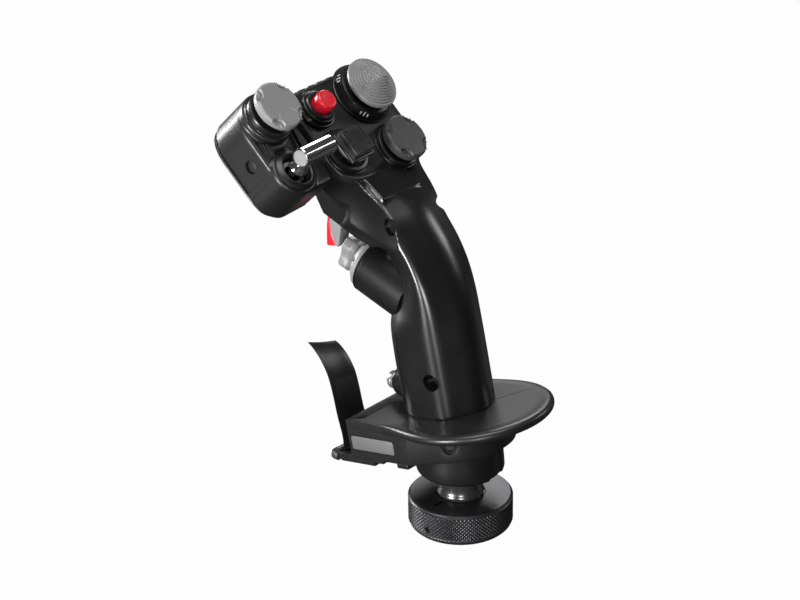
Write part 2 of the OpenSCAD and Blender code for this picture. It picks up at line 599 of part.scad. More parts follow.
locking_ring();
ring_screw();
mount_stub();
connector_body();
connector_pins();
collar();
base_block();
hand_rest();
nameplate();
base_screws();
hinge_bracket();
paddle_pin();
paddle_lever();
paddle_spring();
paddle_switch();
grip_left_shell();
grip_right_shell();
shell_screws();
head_housing();
face_plate();
thumb_box();
thumb_box_cover();
box_screws();
trim_bezel();
trim_gimbal();
trim_hat();
release_collar();
release_button();
release_spring();
ribbed_bezel();
ribbed_gimbal();
ribbed_hat();
ribbed_base();
black_bezel();
black_gimbal();
black_hat();
gray_bezel();
gray_gimbal();
gray_hat();
toggle_bezel();
toggle_gimbal();
toggle_stem();
toggle_barrel();
front_boss();
front_flange();
front_gimbal();
front_knob();
trigger_body();
trigger_blade();
trigger_bracket();
trigger_pin();
trigger_spring();
trigger_switch();
pinky_collar();
pinky_button();
pinky_spring();
grip_board();
head_board();
wiring_loom();
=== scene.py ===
import json
import math

import bmesh
import bpy
from mathutils import Matrix, Vector


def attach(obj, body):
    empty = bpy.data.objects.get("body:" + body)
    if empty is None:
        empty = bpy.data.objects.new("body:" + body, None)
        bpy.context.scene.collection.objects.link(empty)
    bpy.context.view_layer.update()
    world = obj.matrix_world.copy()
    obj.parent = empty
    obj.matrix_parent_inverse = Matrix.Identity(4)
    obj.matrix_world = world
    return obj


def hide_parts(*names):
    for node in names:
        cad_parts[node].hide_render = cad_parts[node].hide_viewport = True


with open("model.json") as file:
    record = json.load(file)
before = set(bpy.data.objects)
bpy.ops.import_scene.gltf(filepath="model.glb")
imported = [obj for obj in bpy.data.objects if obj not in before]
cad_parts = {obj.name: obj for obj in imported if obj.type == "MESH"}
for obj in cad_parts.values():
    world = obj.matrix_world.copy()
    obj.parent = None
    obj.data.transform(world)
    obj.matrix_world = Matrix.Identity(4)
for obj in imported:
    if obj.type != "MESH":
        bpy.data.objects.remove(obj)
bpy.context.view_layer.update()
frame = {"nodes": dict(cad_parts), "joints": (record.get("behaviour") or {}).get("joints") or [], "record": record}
mm = 0.001
cadNodes = frame["nodes"]
joints = {joint["name"]: joint for joint in frame["joints"]}
print("frame loaded")


# places worked out from the frame
def axisOf(joint):
    return Vector(joints[joint]["axis"]).normalized()


def placeOf(joint):
    return Vector(joints[joint]["pos_m"])


def seat(xAxis, yAxis, origin):
    place = Matrix((xAxis, yAxis, xAxis.cross(yAxis))).transposed().to_4x4()
    place.translation = origin
    return place


# lowest and highest corner of a CAD node in a local frame, in mm
def span(node, place=Matrix()):
    turn = place.inverted()
    points = [turn @ v.co for v in cadNodes[node].data.vertices]
    return [Vector(pick(p[k] for p in points) for k in range(3)) / mm for pick in (min, max)]


def moved(place, x=0.0, y=0.0, z=0.0):
    return place @ Matrix.Translation(Vector((x, y, z)) * mm)


def turnedBy(place, degrees, axis):
    return place @ Matrix.Rotation(math.radians(degrees), 4, axis)


# a frame above a hat's pivot, with the tip and tilt axes as x and y, raised by rise
def hatSeat(key, rise):
    place = seat(axisOf(key + "_tip"), axisOf(key + "_tilt"), placeOf(key + "_tip"))
    return moved(place, 0, 0, rise)


world = Matrix()
pivotRise = 3.0
face = hatSeat("trim", pivotRise)
boss = hatSeat("front", pivotRise)
leanX, leanY = axisOf("paddle_swing"), -axisOf("pinky_press")
lean = seat(leanX, leanY, Vector((0, 0, 0)))
lean.translation = Vector((0, 0, span("base_block", lean)[0].z * mm / lean.col[2].z))


def onFace(key):
    return hatSeat(key, pivotRise)


# helpers that make and shape meshes
def meshPiece(name, vertices, faces):
    mesh = bpy.data.meshes.new(name)
    mesh.from_pydata([tuple(v) for v in vertices], [], faces)
    piece = bpy.data.objects.new(name, mesh)
    bpy.context.scene.collection.objects.link(piece)
    return piece


def tidyNormals(piece):
    work = bmesh.new()
    work.from_mesh(piece.data)
    bmesh.ops.remove_doubles(work, verts=work.verts, dist=1e-7)
    bmesh.ops.recalc_face_normals(work, faces=work.faces)
    work.to_mesh(piece.data)
    work.free()
    return piece


# skin through rings of points; a hollow one joins its last ring to its first
def loft(name, rings, hollow=False):
    count = len(rings[0])
    vertices = [point for ring in rings for point in ring]
    faces = []
    for j in range(len(rings) if hollow else len(rings) - 1):
        here, there = j * count, (j + 1) % len(rings) * count
        for k in range(count):
            m = (k + 1) % count
            faces.append((here + k, here + m, there + m, there + k))
    if not hollow:
        faces.append(tuple(range(count)))
        faces.append(tuple((len(rings) - 1) * count + k for k in range(count)))
    return tidyNormals(meshPiece(name, vertices, faces))


def turned(name, profile, place, steps=96, hollow=False):
    rings = [[place @ (Vector((r * math.cos(t), r * math.sin(t), z)) * mm)
              for t in (math.tau * k / steps for k in range(steps))] for r, z in profile]
    return loft(name, rings, hollow)


# an outline with its corners rounded; setback is how far each round starts from its corner
def rounded(points, setback, steps=5):
    out = []
    for k, corner in enumerate(points):
        corner = Vector(corner)
        back = setback[k] if isinstance(setback, (list, tuple)) else setback
        ends = []
        for other in (points[k - 1], points[(k + 1) % len(points)]):
            way = Vector(other) - corner
            ends.append(corner + way.normalized() * min(back, way.length * 0.48))
        for s in range(steps + 1):
            t = s / steps
            out.append(ends[0] * (1 - t) ** 2 + corner * 2 * t * (1 - t) + ends[1] * t ** 2)
    return out


def bevelled(piece, width, segments=3, angle=30):
    bevel = piece.modifiers.new("edge", "BEVEL")
    bevel.width = width * mm
    bevel.segments = segments
    bevel.limit_method = "ANGLE"
    bevel.angle_limit = math.radians(angle)
    return bake(piece)


def bake(piece):
    graph = bpy.context.evaluated_depsgraph_get()
    graph.update()
    mesh = bpy.data.meshes.new_from_object(piece.evaluated_get(graph))
    piece.modifiers.clear()
    piece.data = mesh
    return piece


def slab(name, outline, low, high, place, bevel=0.0):
    rings = [[place @ (Vector((p[0], p[1], z)) * mm) for p in outline] for z in (low, high)]
    piece = loft(name, rings)
    return bevelled(piece, bevel) if bevel else piece


def block(name, low, high, place, bevel=0.0):
    outline = [(low[0], low[1]), (high[0], low[1]), (high[0], high[1]), (low[0], high[1])]
    return slab(name, outline, low[2], high[2], place, bevel)


def boolean(piece, others, operation):
    for other in others:
        cut = piece.modifiers.new("cut", "BOOLEAN")
        cut.operation = operation
        cut.solver = "EXACT"
        cut.object = other
    bake(piece)
    for other in others:
        bpy.data.objects.remove(other)
    return piece


def cut(piece, *cutters):
    return boolean(piece, cutters, "DIFFERENCE")


def joined(name, pieces):
    work = bmesh.new()
    for piece in pieces:
        work.from_mesh(piece.data)
    mesh = bpy.data.meshes.new(name)
    work.to_mesh(mesh)
    work.free()
    for piece in pieces:
        bpy.data.objects.remove(piece)
    whole = bpy.data.objects.new(name, mesh)
    bpy.context.scene.collection.objects.link(whole)
    return whole


# melts pieces into one skin with soft inner corners
def melted(name, pieces, voxel, rounds):
    whole = joined(name, pieces)
    remesh = whole.modifiers.new("melt", "REMESH")
    remesh.mode = "VOXEL"
    remesh.voxel_size = voxel * mm
    smooth = whole.modifiers.new("soft", "SMOOTH")
    smooth.factor = 0.5
    smooth.iterations = rounds
    return bake(whole)


# a rod between two points of a local frame
def rod(name, start, end, radius, place, steps=24):
    start, end = Vector(start), Vector(end)
    turn = (end - start).to_track_quat("Z", "Y").to_matrix().to_4x4()
    at = place @ Matrix.Translation(start * mm) @ turn
    return turned(name, [(radius, 0), (radius, (end - start).length)], at, steps)


# a raised arc: a thin tube bent round a centre
def arcTube(name, radius, tube, start, end, place, steps=20, sides=8):
    rings = []
    for k in range(steps + 1):
        t = math.radians(start + (end - start) * k / steps)
        taper = tube * min(1.0, 0.35 + 3 * min(k, steps - k) / steps)
        rings.append([place @ (Vector(((radius + taper * math.cos(a)) * math.cos(t),
                                       (radius + taper * math.cos(a)) * math.sin(t),
                                       taper * math.sin(a))) * mm)
                      for a in (math.tau * j / sides for j in range(sides))])
    return loft(name, rings)


# one look for each finish
def coat(name, look):
    material = bpy.data.materials.new(name)
    material.use_nodes = True
    tree = material.node_tree
    shader = tree.nodes["Principled BSDF"]
    shader.inputs["Metallic"].default_value = look.get("metal", 0.0)
    shader.inputs["Specular IOR Level"].default_value = look.get("specular", 0.5)
    shader.inputs["Coat Weight"].default_value = look.get("clear", 0.0)
    shader.inputs["Coat Roughness"].default_value = look.get("clearRough", 0.15)
    where = tree.nodes.new("ShaderNodeTexCoord")
    stretch = tree.nodes.new("ShaderNodeMapping")
    stretch.inputs["Scale"].default_value = look.get("stretch", (1, 1, 1))
    tree.links.new(where.outputs["Object"], stretch.inputs["Vector"])

    def cloud(size, detail):
        node = tree.nodes.new("ShaderNodeTexNoise")
        node.inputs["Scale"].default_value = 1 / (size * mm)
        node.inputs["Detail"].default_value = detail
        tree.links.new(stretch.outputs["Vector"], node.inputs["Vector"])
        return node

    patches = cloud(look.get("patch", 14.0), 3)
    grain = cloud(look.get("grain", 0.35), 2)
    tint = tree.nodes.new("ShaderNodeMix")
    tint.data_type = "RGBA"
    spread = look.get("spread", 0.12)
    tint.inputs["A"].default_value = (*[c * (1 - spread) for c in look["color"]], 1)
    tint.inputs["B"].default_value = (*[min(1.0, c * (1 + spread)) for c in look["color"]], 1)
    tree.links.new(patches.outputs["Fac"], tint.inputs["Factor"])
    last = tint.outputs["Result"]
    if look.get("wear"):
        edge = tree.nodes.new("ShaderNodeNewGeometry")
        ramp = tree.nodes.new("ShaderNodeValToRGB")
        ramp.color_ramp.elements[0].position = 0.56
        ramp.color_ramp.elements[1].position = 0.66
        rub = tree.nodes.new("ShaderNodeMath")
        rub.operation = "MULTIPLY"
        rubbed = tree.nodes.new("ShaderNodeMix")
        rubbed.data_type = "RGBA"
        rubbed.inputs["B"].default_value = (*[min(1.0, c * look["wear"]) for c in look["color"]], 1)
        tree.links.new(edge.outputs["Pointiness"], ramp.inputs["Fac"])
        tree.links.new(ramp.outputs["Color"], rub.inputs[0])
        tree.links.new(patches.outputs["Fac"], rub.inputs[1])
        tree.links.new(last, rubbed.inputs["A"])
        tree.links.new(rub.outputs["Value"], rubbed.inputs["Factor"])
        last = rubbed.outputs["Result"]
    tree.links.new(last, shader.inputs["Base Color"])
    rough = tree.nodes.new("ShaderNodeMapRange")
    rough.inputs["To Min"].default_value = look["rough"] - look.get("roughSpread", 0.05)
    rough.inputs["To Max"].default_value = look["rough"] + look.get("roughSpread", 0.05)
    tree.links.new(patches.outputs["Fac"], rough.inputs["Value"])
    tree.links.new(rough.outputs["Result"], shader.inputs["Roughness"])
    bump = tree.nodes.new("ShaderNodeBump")
    bump.inputs["Strength"].default_value = look.get("bump", 0.12)
    bump.inputs["Distance"].default_value = 0.05 * mm
    tree.links.new(grain.outputs["Fac"], bump.inputs["Height"])
    tree.links.new(bump.outputs["Normal"], shader.inputs["Normal"])
    return material


finishes = {
    "satin_black_shell": {"color": (0.0035, 0.0035, 0.0037), "rough": 0.3, "clear": 0.35,
                          "clearRough": 0.28,
                          "bump": 0.1, "grain": 0.3, "wear": 3.0},
    "matte_black": {"color": (0.007, 0.007, 0.0073), "rough": 0.38, "bump": 0.2, "grain": 0.25,
                    "wear": 2.5},
    "face_gray": {"color": (0.014, 0.014, 0.0145), "rough": 0.45, "bump": 0.3, "grain": 0.22, "wear": 2.2},
    "knurled_black": {"color": (0.045, 0.045, 0.047), "metal": 0.7, "rough": 0.36, "bump": 0.15,
                      "wear": 8.0},
    "black_anodised": {"color": (0.008, 0.008, 0.0085), "metal": 0.2, "rough": 0.33, "bump": 0.1,
                       "grain": 0.2, "wear": 5.0},
    "gray_metal": {"color": (0.23, 0.23, 0.233), "metal": 0.25, "rough": 0.5, "bump": 0.25, "grain": 0.2,
                   "spread": 0.05, "wear": 1.7},
    "silver_metal": {"color": (0.62, 0.62, 0.63), "metal": 0.85, "rough": 0.27, "bump": 0.12, "wear": 1.4},
    "light_plate": {"color": (0.15, 0.15, 0.153), "metal": 0.4, "rough": 0.4, "bump": 0.35, "grain": 0.6,
                    "stretch": (1, 0.05, 1), "spread": 0.08},
    "polished_chrome": {"color": (0.8, 0.8, 0.81), "metal": 1.0, "rough": 0.08, "roughSpread": 0.03,
                        "bump": 0.02, "spread": 0.02},
    "bright_steel": {"color": (0.5, 0.5, 0.51), "metal": 1.0, "rough": 0.28, "bump": 0.15,
                     "stretch": (0.1, 1, 1)},
    "red_plastic": {"color": (0.6, 0.008, 0.022), "rough": 0.33, "clear": 0.3, "bump": 0.08, "spread": 0.1},
    "black_plastic": {"color": (0.014, 0.014, 0.015), "rough": 0.42, "bump": 0.25, "grain": 0.25,
                      "wear": 2.5},
    "contact_gold": {"color": (0.75, 0.56, 0.25), "metal": 1.0, "rough": 0.3, "bump": 0.1},
    "board_green": {"color": (0.02, 0.12, 0.06), "rough": 0.3, "clear": 0.4, "bump": 0.2, "grain": 0.8},
    "spring_steel": {"color": (0.42, 0.42, 0.43), "metal": 1.0, "rough": 0.3, "bump": 0.1},
}
slotOf = {part["node"]: part["material_slot"] for part in frame["record"]["subparts"]}
coats = {name: coat(name, look) for name, look in finishes.items()}
# finishes that only the looks tell apart
coats["capBlack"] = coat("capBlack", {"color": (0.04, 0.04, 0.041), "rough": 0.5, "bump": 0.3,
                                      "grain": 0.22, "wear": 2.0})
coats["neckSteel"] = coat("neckSteel", {"color": (0.09, 0.09, 0.092), "metal": 0.8, "rough": 0.26,
                                        "bump": 0.1,
                                        "stretch": (1, 1, 0.1), "wear": 3.0})
coats["knobSilver"] = coat("knobSilver", {"color": (0.3, 0.3, 0.305), "metal": 0.45, "rough": 0.4,
                                          "bump": 0.15,
                                          "grain": 0.2, "wear": 1.4})
coats["tickWhite"] = coat("tickWhite", {"color": (0.62, 0.62, 0.62), "rough": 0.55, "bump": 0.1})
coats["discGray"] = coat("discGray", {"color": (0.009, 0.009, 0.0094), "rough": 0.36, "bump": 0.15,
                                      "grain": 0.2, "wear": 2.0})
for name, node in cadNodes.items():
    node.data.materials.clear()
    node.data.materials.append(coats[slotOf[name]])
print("finishes made")


def dress(piece, body, nodes, look=None, sharp=32):
    slotName = slotOf[nodes[0]]
    piece.data.materials.clear()
    piece.data.materials.append(coats[look or slotName])
    piece.data.polygons.foreach_set("material_index", [0] * len(piece.data.polygons))
    piece.data.shade_smooth()
    piece.data.set_sharp_from_angle(angle=math.radians(sharp))
    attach(piece, body)
    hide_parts(*nodes)
    return piece


# a CAD piece redrawn with broken edges
def softened(name, node, body, width, segments=2, look=None):
    work = bmesh.new()
    work.from_mesh(cadNodes[node].data)
    bmesh.ops.remove_doubles(work, verts=work.verts, dist=2e-6)
    bmesh.ops.dissolve_limit(work, angle_limit=math.radians(1.5), verts=work.verts, edges=work.edges)
    mesh = bpy.data.meshes.new(name)
    work.to_mesh(mesh)
    work.free()
    piece = bpy.data.objects.new(name, mesh)
    bpy.context.scene.collection.objects.link(piece)
    bevelled(piece, width, segments, 35)
    return dress(piece, body, [node], look)


# knurled ring and the neck it turns on
ringLook = {"diamonds": 84, "samples": 6, "depth": 0.5, "bandLow": 2.7, "bandHigh": 15.2,
            "slotLength": 7.0, "slotWidth": 1.7}


def lockingRing():
    high = span("locking_ring")[1]
    radius, top = high.x, high.z
    bore = min(Vector(v.co[:2]).length for v in cadNodes["locking_ring"].data.vertices) / mm
    thread = placeOf("ring_spin").z / mm + frame["record"]["mounts"][0]["dims"]["r_mm"]
    depth = frame["record"]["mounts"][0]["dims"]["length_mm"]
    steps = ringLook["diamonds"] * ringLook["samples"]
    pitch = math.tau * radius / ringLook["diamonds"]
    band = ringLook["bandHigh"] - ringLook["bandLow"]
    rows = round(band / pitch * ringLook["samples"])
    rings = []

    def plain(r, z):
        rings.append([Vector((r * math.cos(t), r * math.sin(t), z)) * mm
                      for t in (math.tau * k / steps for k in range(steps))])

    def ridge(v):
        return abs(v - round(v)) * 2

    for r, z in [(thread, 0.0), (radius - 2.2, 0.0), (radius - 1.7, 0.15), (radius - 0.75, 1.1),
                 (radius - 0.45, 1.9), (radius - 0.42, ringLook["bandLow"] - 0.15)]:
        plain(r, z)
    for j in range(rows + 1):
        ring = []
        for k in range(steps):
            t = math.tau * k / steps
            u, w = k / ringLook["samples"], j / ringLook["samples"]
            height = min(1.0, 1.5 * min(ridge((u + w) / 1.0), ridge((u - w) / 1.0)))
            fade = min(1.0, j / 2, (rows - j) / 2)
            r = radius - ringLook["depth"] * (1 - height) * fade
            ring.append(Vector((r * math.cos(t), r * math.sin(t),
                                ringLook["bandLow"] + band * j / rows)) * mm)
        rings.append(ring)
    for r, z in [(radius - 0.5, top - 0.9), (radius - 0.75, top - 0.35), (radius - 1.3, top),
                 (bore + 1.6, top),
                 (bore + 1.2, top - 0.5), (bore, top - 0.5), (bore, top - 4), (thread + 0.4, top - 4),
                 (thread + 0.4, depth), (thread, depth)]:
        plain(r, z)
    ring = loft("lockingRing", rings, hollow=True)
    screwLow, screwHigh = span("ring_screw")
    middle = (screwLow + screwHigh) / 2
    out = Vector((middle.x, middle.y, 0)).normalized()
    slotPlace = turnedBy(world, math.degrees(math.atan2(out.y, out.x)) - 2, "Z")
    slot = block("slot", (bore + 1.5, -ringLook["slotWidth"] / 2, top - 1.1),
                 (bore + 1.5 + ringLook["slotLength"], ringLook["slotWidth"] / 2, top + 1), slotPlace)
    hole = rod("hole", middle - out * 0.4 - out * 1.0, middle + out * 4, 1.55, world)
    dress(cut(ring, slot, hole), "ring", ["locking_ring"], sharp=28)


def mountNeck():
    low, high = span("mount_stub")
    ringHigh = span("locking_ring")[1]
    flange = high.x
    neck = min(Vector(v.co[:2]).length for v in cadNodes["locking_ring"].data.vertices) / mm - 0.05
    inner = min(Vector(v.co[:2]).length for v in cadNodes["mount_stub"].data.vertices) / mm
    top, shelf = high.z, ringHigh.z
    profile = [(inner, low.z), (flange - 0.3, low.z), (flange, low.z + 0.3), (flange, low.z + 2.1),
               (flange - 0.4, low.z + 2.4), (neck, low.z + 2.4), (neck, shelf + 0.35), (neck + 0.6,
                                                                                        shelf + 0.6),
               (neck + 0.9, shelf + 1.1), (neck + 0.9, shelf + 1.8), (neck + 0.45, shelf + 2.6),
               (neck, shelf + 3.6), (neck - 0.1, shelf + 6), (neck - 0.1, top - 3.2), (neck + 0.2, top - 2),
               (neck + 1.1, top - 0.5), (neck + 1.2, top), (inner, top)]
    dress(turned("mountNeck", profile, world, 128, hollow=True), "root", ["mount_stub"], "neckSteel")


collarLook = {"keyFrom": -97, "keyTo": -66, "keyDepth": 1.0}


def collarPiece():
    low, high = span("collar")
    bottom, wide = low.z, high.x
    inner = min(Vector(v.co[:2]).length for v in cadNodes["collar"].data.vertices) / mm
    steps = 180
    origin, up = lean.translation / mm, Vector(lean.col[2][:3])
    rings = []
    for share, r in [(0, inner), (0, wide - 1.3), (0.03, wide - 0.5), (0.09, wide - 0.12), (0.13, wide),
                     (0.5, wide - 0.45), (0.93, wide - 0.95), (1, wide - 0.95), (1, inner)]:
        ring = []
        for k in range(steps):
            t = 360 * k / steps - 180
            key = collarLook["keyDepth"] if collarLook["keyFrom"] < t < collarLook["keyTo"] else 0
            reach = r - (key if r > inner else 0)
            x, y = reach * math.cos(math.radians(t)), reach * math.sin(math.radians(t))
            roof = origin.z - (x * up.x + y * up.y) / up.z
            ring.append(Vector((x, y, bottom + (roof - bottom) * share)) * mm)
        rings.append(ring)
    dress(loft("collar", rings, hollow=True), "root", ["collar"], sharp=40)


lockingRing()
mountNeck()
collarPiece()
softened("ringScrew", "ring_screw", "ring", 0.15)
softened("connectorBody", "connector_body", "root", 0.15)
softened("connectorPins", "connector_pins", "root", 0.12)
print("ring and collar made")


# tilted base, hand rest and blank plate
restLow, restHigh = span("hand_rest", lean)
blockLow, blockHigh = span("base_block", lean)
plateLow, plateHigh = span("nameplate", lean)
screwsLow, screwsHigh = span("base_screws", lean)


def baseBlock():
    half, front, top = blockHigh.x, blockHigh.y, blockHigh.z
    hub = -blockLow.y
    outline = [Vector((-half, front)), Vector((-half, 3.0))]
    corner = math.degrees(math.acos(min(1, hub / half)))
    start, end = 180 + corner * 0.45, 360 - corner * 0.45
    arc = [Vector((hub * math.cos(math.radians(a)), hub * math.sin(math.radians(a))))
           for a in (start + (end - start) * k / 60 for k in range(61))]
    outline += arc + [Vector((half, 3.0)), Vector((half, front))]
    rings = []
    for inset, z in [(2.2, 0.0), (1.0, 0.0), (0.35, 0.35), (0.0, 1.1), (0.0, top)]:
        ring = []
        for k, p in enumerate(outline):
            along = (outline[(k + 1) % len(outline)] - outline[k - 1]).normalized()
            inward = Vector((-along.y, along.x))
            ring.append(lean @ (Vector((p.x + inward.x * inset, p.y + inward.y * inset, z)) * mm))
        rings.append(ring)
    body = loft("baseBlock", rings)
    foot = []
    for side in (-1, 1):
        x = side * (half - 4.2)
        foot.append(block("foot", (x - 4, 5, -2.0), (x + 4, 12.4, 0.5), lean, 0.5))
    inner = min(Vector(v.co[:2]).length for v in cadNodes["collar"].data.vertices) / mm
    cutters = [rod("bore", (0, 0, -2), (0, 0, top + 2), inner, lean, 48)]
    recess = rounded([(plateLow.y - 0.5, plateLow.z - 0.5), (plateHigh.y + 0.5, plateLow.z - 0.5),
                      (plateHigh.y + 0.5, plateHigh.z + 0.5), (plateLow.y - 0.5, plateHigh.z + 0.5)], 1.6)
    sideways = seat(Vector(lean.col[1][:3]), Vector(lean.col[2][:3]), lean.translation)
    cutters.append(slab("recess", recess, -half - 1, -half + 0.55, sideways))
    middle = (screwsLow + screwsHigh) / 2
    radius = (screwsHigh.z - screwsLow.z) / 2
    for angle in (213, -33):
        way = Vector((math.cos(math.radians(angle)), math.sin(math.radians(angle)), 0))
        start = way * (hub - 1.6) + Vector((0, 0, middle.z))
        cutters.append(rod("screwHole", start, start + way * 8, radius + 0.15, lean, 40))
    switchLow, switchHigh = span("paddle_switch", lean)
    cutters.append(block("switchPocket", switchLow - Vector((0.2, 0.2, 0.2)),
                         Vector((switchHigh.x + 0.2, front + 2, switchHigh.z + 0.2)), lean))
    dress(cut(body, *cutters), "root", ["base_block"])
    for piece in foot:
        piece.data.materials.append(coats["matte_black"])
        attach(piece, "root")
    plate = rounded([(plateLow.y, plateLow.z), (plateHigh.y, plateLow.z), (plateHigh.y, plateHigh.z),
                     (plateLow.y, plateHigh.z)], 1.3)
    dress(slab("namePlate", plate, plateLow.x, plateHigh.x, sideways, 0.16), "root", ["nameplate"])


# the rest's edge: distance in from the outline and share of the thickness
restEdge = [(9.0, 0.0), (2.6, 0.0), (1.3, 0.04), (0.45, 0.18), (0.05, 0.38), (0.0, 0.55), (0.3, 0.76),
            (1.1, 0.91), (2.3, 0.985), (3.4, 1.0), (4.6, 0.985), (6.6, 0.95), (9.0, 0.95)]
plainEdge = [(9.0, 0.0), (0.2, 0.0), (0.05, 0.0), (0.0, 0.01), (0.0, 0.12), (0.0, 0.6), (0.0, 0.86),
             (0.03, 0.91), (0.12, 0.94), (0.3, 0.95), (1.2, 0.95), (4.0, 0.95), (9.0, 0.95)]


def handRest():
    half, front = blockHigh.x, restHigh.y
    radius = -restLow.x
    centre = restLow.y + radius
    merge = 22.0
    path = []
    for k in range(91):
        a = math.radians(180 + 2 * k)
        path.append((Vector((radius * math.cos(a), centre + radius * math.sin(a))), 1.0))
    for k in range(1, 13):
        t = k / 12
        x = radius + (half - radius) * t * t * (3 - 2 * t)
        path.append((Vector((x, centre + (merge - centre) * t)), 1 - max(0.0, t - 0.55) / 0.45))
    for k in range(1, 9):
        path.append((Vector((half, merge + (front - merge) * k / 8)), 0.0))
    for k in range(1, 16):
        path.append((Vector((half - 2 * half * k / 16, front)), 0.0))
    path += [(Vector((-p.x, p.y)), w) for p, w in reversed(path[91:111])]
    count = len(path)
    rings = []
    for rim, plain in zip(restEdge, plainEdge):
        ring = []
        for k, (point, weight) in enumerate(path):
            along = (path[(k + 1) % count][0] - path[k - 1][0]).normalized()
            inward = Vector((-along.y, along.x))
            inset = plain[0] + (rim[0] - plain[0]) * weight
            rise = plain[1] + (rim[1] - plain[1]) * weight
            spot = point + inward * inset
            ring.append(lean @ (Vector((spot.x, spot.y, restLow.z + (restHigh.z - restLow.z) * rise)) * mm))
        rings.append(ring)
    disc = loft("handRest", rings)
    inner = min(Vector(v.co[:2]).length for v in cadNodes["collar"].data.vertices) / mm
    bore = rod("bore", (0, 0, restLow.z - 2), (0, 0, restHigh.z + 2), inner, lean, 48)
    seam = block("seam", (0, -0.15, restHigh.z - 0.55), (60, 0.15, restHigh.z + 2),
                 turnedBy(moved(lean, 6, -14, 0), -24, "Z"))
    dress(cut(disc, bore, seam), "root", ["hand_rest"], "discGray", 34)


baseBlock()
handRest()
softened("baseScrews", "base_screws", "root", 0.35)
print("base made")


# paddle and its hinge
paddleLook = {"thick": 1.5, "slant": 0.1, "crown": 0.9, "columns": 14, "rows": 40}
# height and forward reach of the blade's middle line above the pin
paddleLine = [(2.0, -2.0), (9.0, -2.9), (20.0, -2.0), (33.0, -1.6), (42.0, -0.6), (50.0, 2.2), (56.0, 6.0),
              (59.0, 9.0)]


def smoothPath(points, t):
    place = t * (len(points) - 1)
    k = min(int(place), len(points) - 2)
    f = place - k
    p = [Vector(points[max(0, min(len(points) - 1, k + j))]) for j in (-1, 0, 1, 2)]
    return 0.5 * ((2 * p[1]) + (p[2] - p[0]) * f + (2 * p[0] - 5 * p[1] + 4 * p[2] - p[3]) * f ** 2
                  + (3 * p[1] - p[0] - 3 * p[2] + p[3]) * f ** 3)


def paddleLever():
    low, high = span("paddle_lever", lean)
    pin = lean.inverted() @ placeOf("paddle_swing") / mm
    reach = high.z - pin.z
    scale = reach / (paddleLine[-1][0] + 1.0)
    width = high.x - low.x
    rings = []
    for j in range(paddleLook["rows"] + 1):
        middle = smoothPath(paddleLine, j / paddleLook["rows"])
        ahead = smoothPath(paddleLine, min(1, (j + 0.5) / paddleLook["rows"]))
        behind = smoothPath(paddleLine, max(0, (j - 0.5) / paddleLook["rows"]))
        way = (ahead - behind).normalized()
        across = Vector((-way.y, way.x))      # height, reach: towards the front of the blade
        ring = []
        thin = paddleLook["thick"] * (1 - 0.45 * (j / paddleLook["rows"]) ** 3)
        for side in (1, -1):
            for k in range(paddleLook["columns"] + 1):
                c = k / paddleLook["columns"] if side == 1 else 1 - k / paddleLook["columns"]
                bow = paddleLook["crown"] * (1 - (2 * c - 1) ** 2)
                edge = min(1.0, 6 * c + 0.25, 6 * (1 - c) + 0.25)
                point = middle + across * (side * thin * edge / 2 + bow - 0.4)
                z = pin.z + point.x * scale * (1 - paddleLook["slant"] * c * (j / paddleLook["rows"]) ** 0.6)
                ring.append(lean @ (Vector((low.x + width * c, pin.y + point.y, z)) * mm))
        rings.append(ring)
    blade = loft("paddleBlade", rings)
    knuckle = turned("knuckle", [(3.0, 0.3), (3.0, width - 0.3), (2.7, width), (1.56, width), (1.56, 0),
                                 (2.7, 0)],
                     lean @ Matrix.Translation(Vector((low.x, pin.y, pin.z)) * mm)
                     @ Matrix.Rotation(math.pi / 2, 4, "Y"), 40, hollow=True)
    dress(joined("paddleLever", [blade, knuckle]), "paddle", ["paddle_lever"], sharp=40)


paddleLever()
softened("hingeBracket", "hinge_bracket", "root", 0.6, 3)
softened("paddlePin", "paddle_pin", "root", 0.3, 3)
softened("paddleSwitch", "paddle_switch", "root", 0.3)
print("paddle made")


# grip and head in one skin
# Stations from foot to crown. Each has the back and front of the section (y, z in the lean frame), the left
# side at its back, middle and front, the right side, and how far from the back the corner sits.
gripLook = {"voxel": 0.6, "soften": 7, "scoopRadius": 52.0, "scoopAt": (-66.6, 18.0, 117.0),
            "screws": [(-6.4, 39.0), (5.0, 115.2)], "screwHoleTo": 13.2, "triggerSlot": 5.9}
gripStations = [
    ((-20.6, 19.6), (24.8, 19.6), -19.8, -19.8, -19.8, 19.8, 0.21, 0.0),
    ((-20.6, 34), (24.8, 34), -19.8, -19.8, -19.8, 19.8, 0.21, 0.0),
    ((-20.6, 50), (24.8, 50), -19.8, -19.8, -19.6, 19.8, 0.21, 0.0),
    ((-20.3, 64), (24.4, 64), -19.8, -19.6, -18.2, 19.8, 0.21, 0.0),
    ((-19.4, 74), (22.0, 74), -19.8, -18.6, -14.0, 19.8, 0.21, 0.0),
    ((-17.4, 84), (19.0, 84), -19.9, -17.6, -11.5, 19.8, 0.21, 0.0),
    ((-14.6, 93), (18.6, 93), -20.0, -16.8, -11.0, 19.9, 0.21, 0.1),
    ((-11.2, 101.8), (22.0, 100.5), -20.0, -17.0, -11.5, 19.9, 0.2, 0.3),
    ((-7.0, 110.3), (31.0, 106.0), -20.4, -17.6, -13.0, 20.0, 0.17, 0.6),
    ((-2.2, 118.2), (38.5, 110.6), -21.2, -18.0, -14.5, 20.6, 0.14, 0.9),
    ((4.6, 125.2), (40.5, 113.4), -21.6, -18.4, -15.5, 23.6, 0.12, 1.0),
]
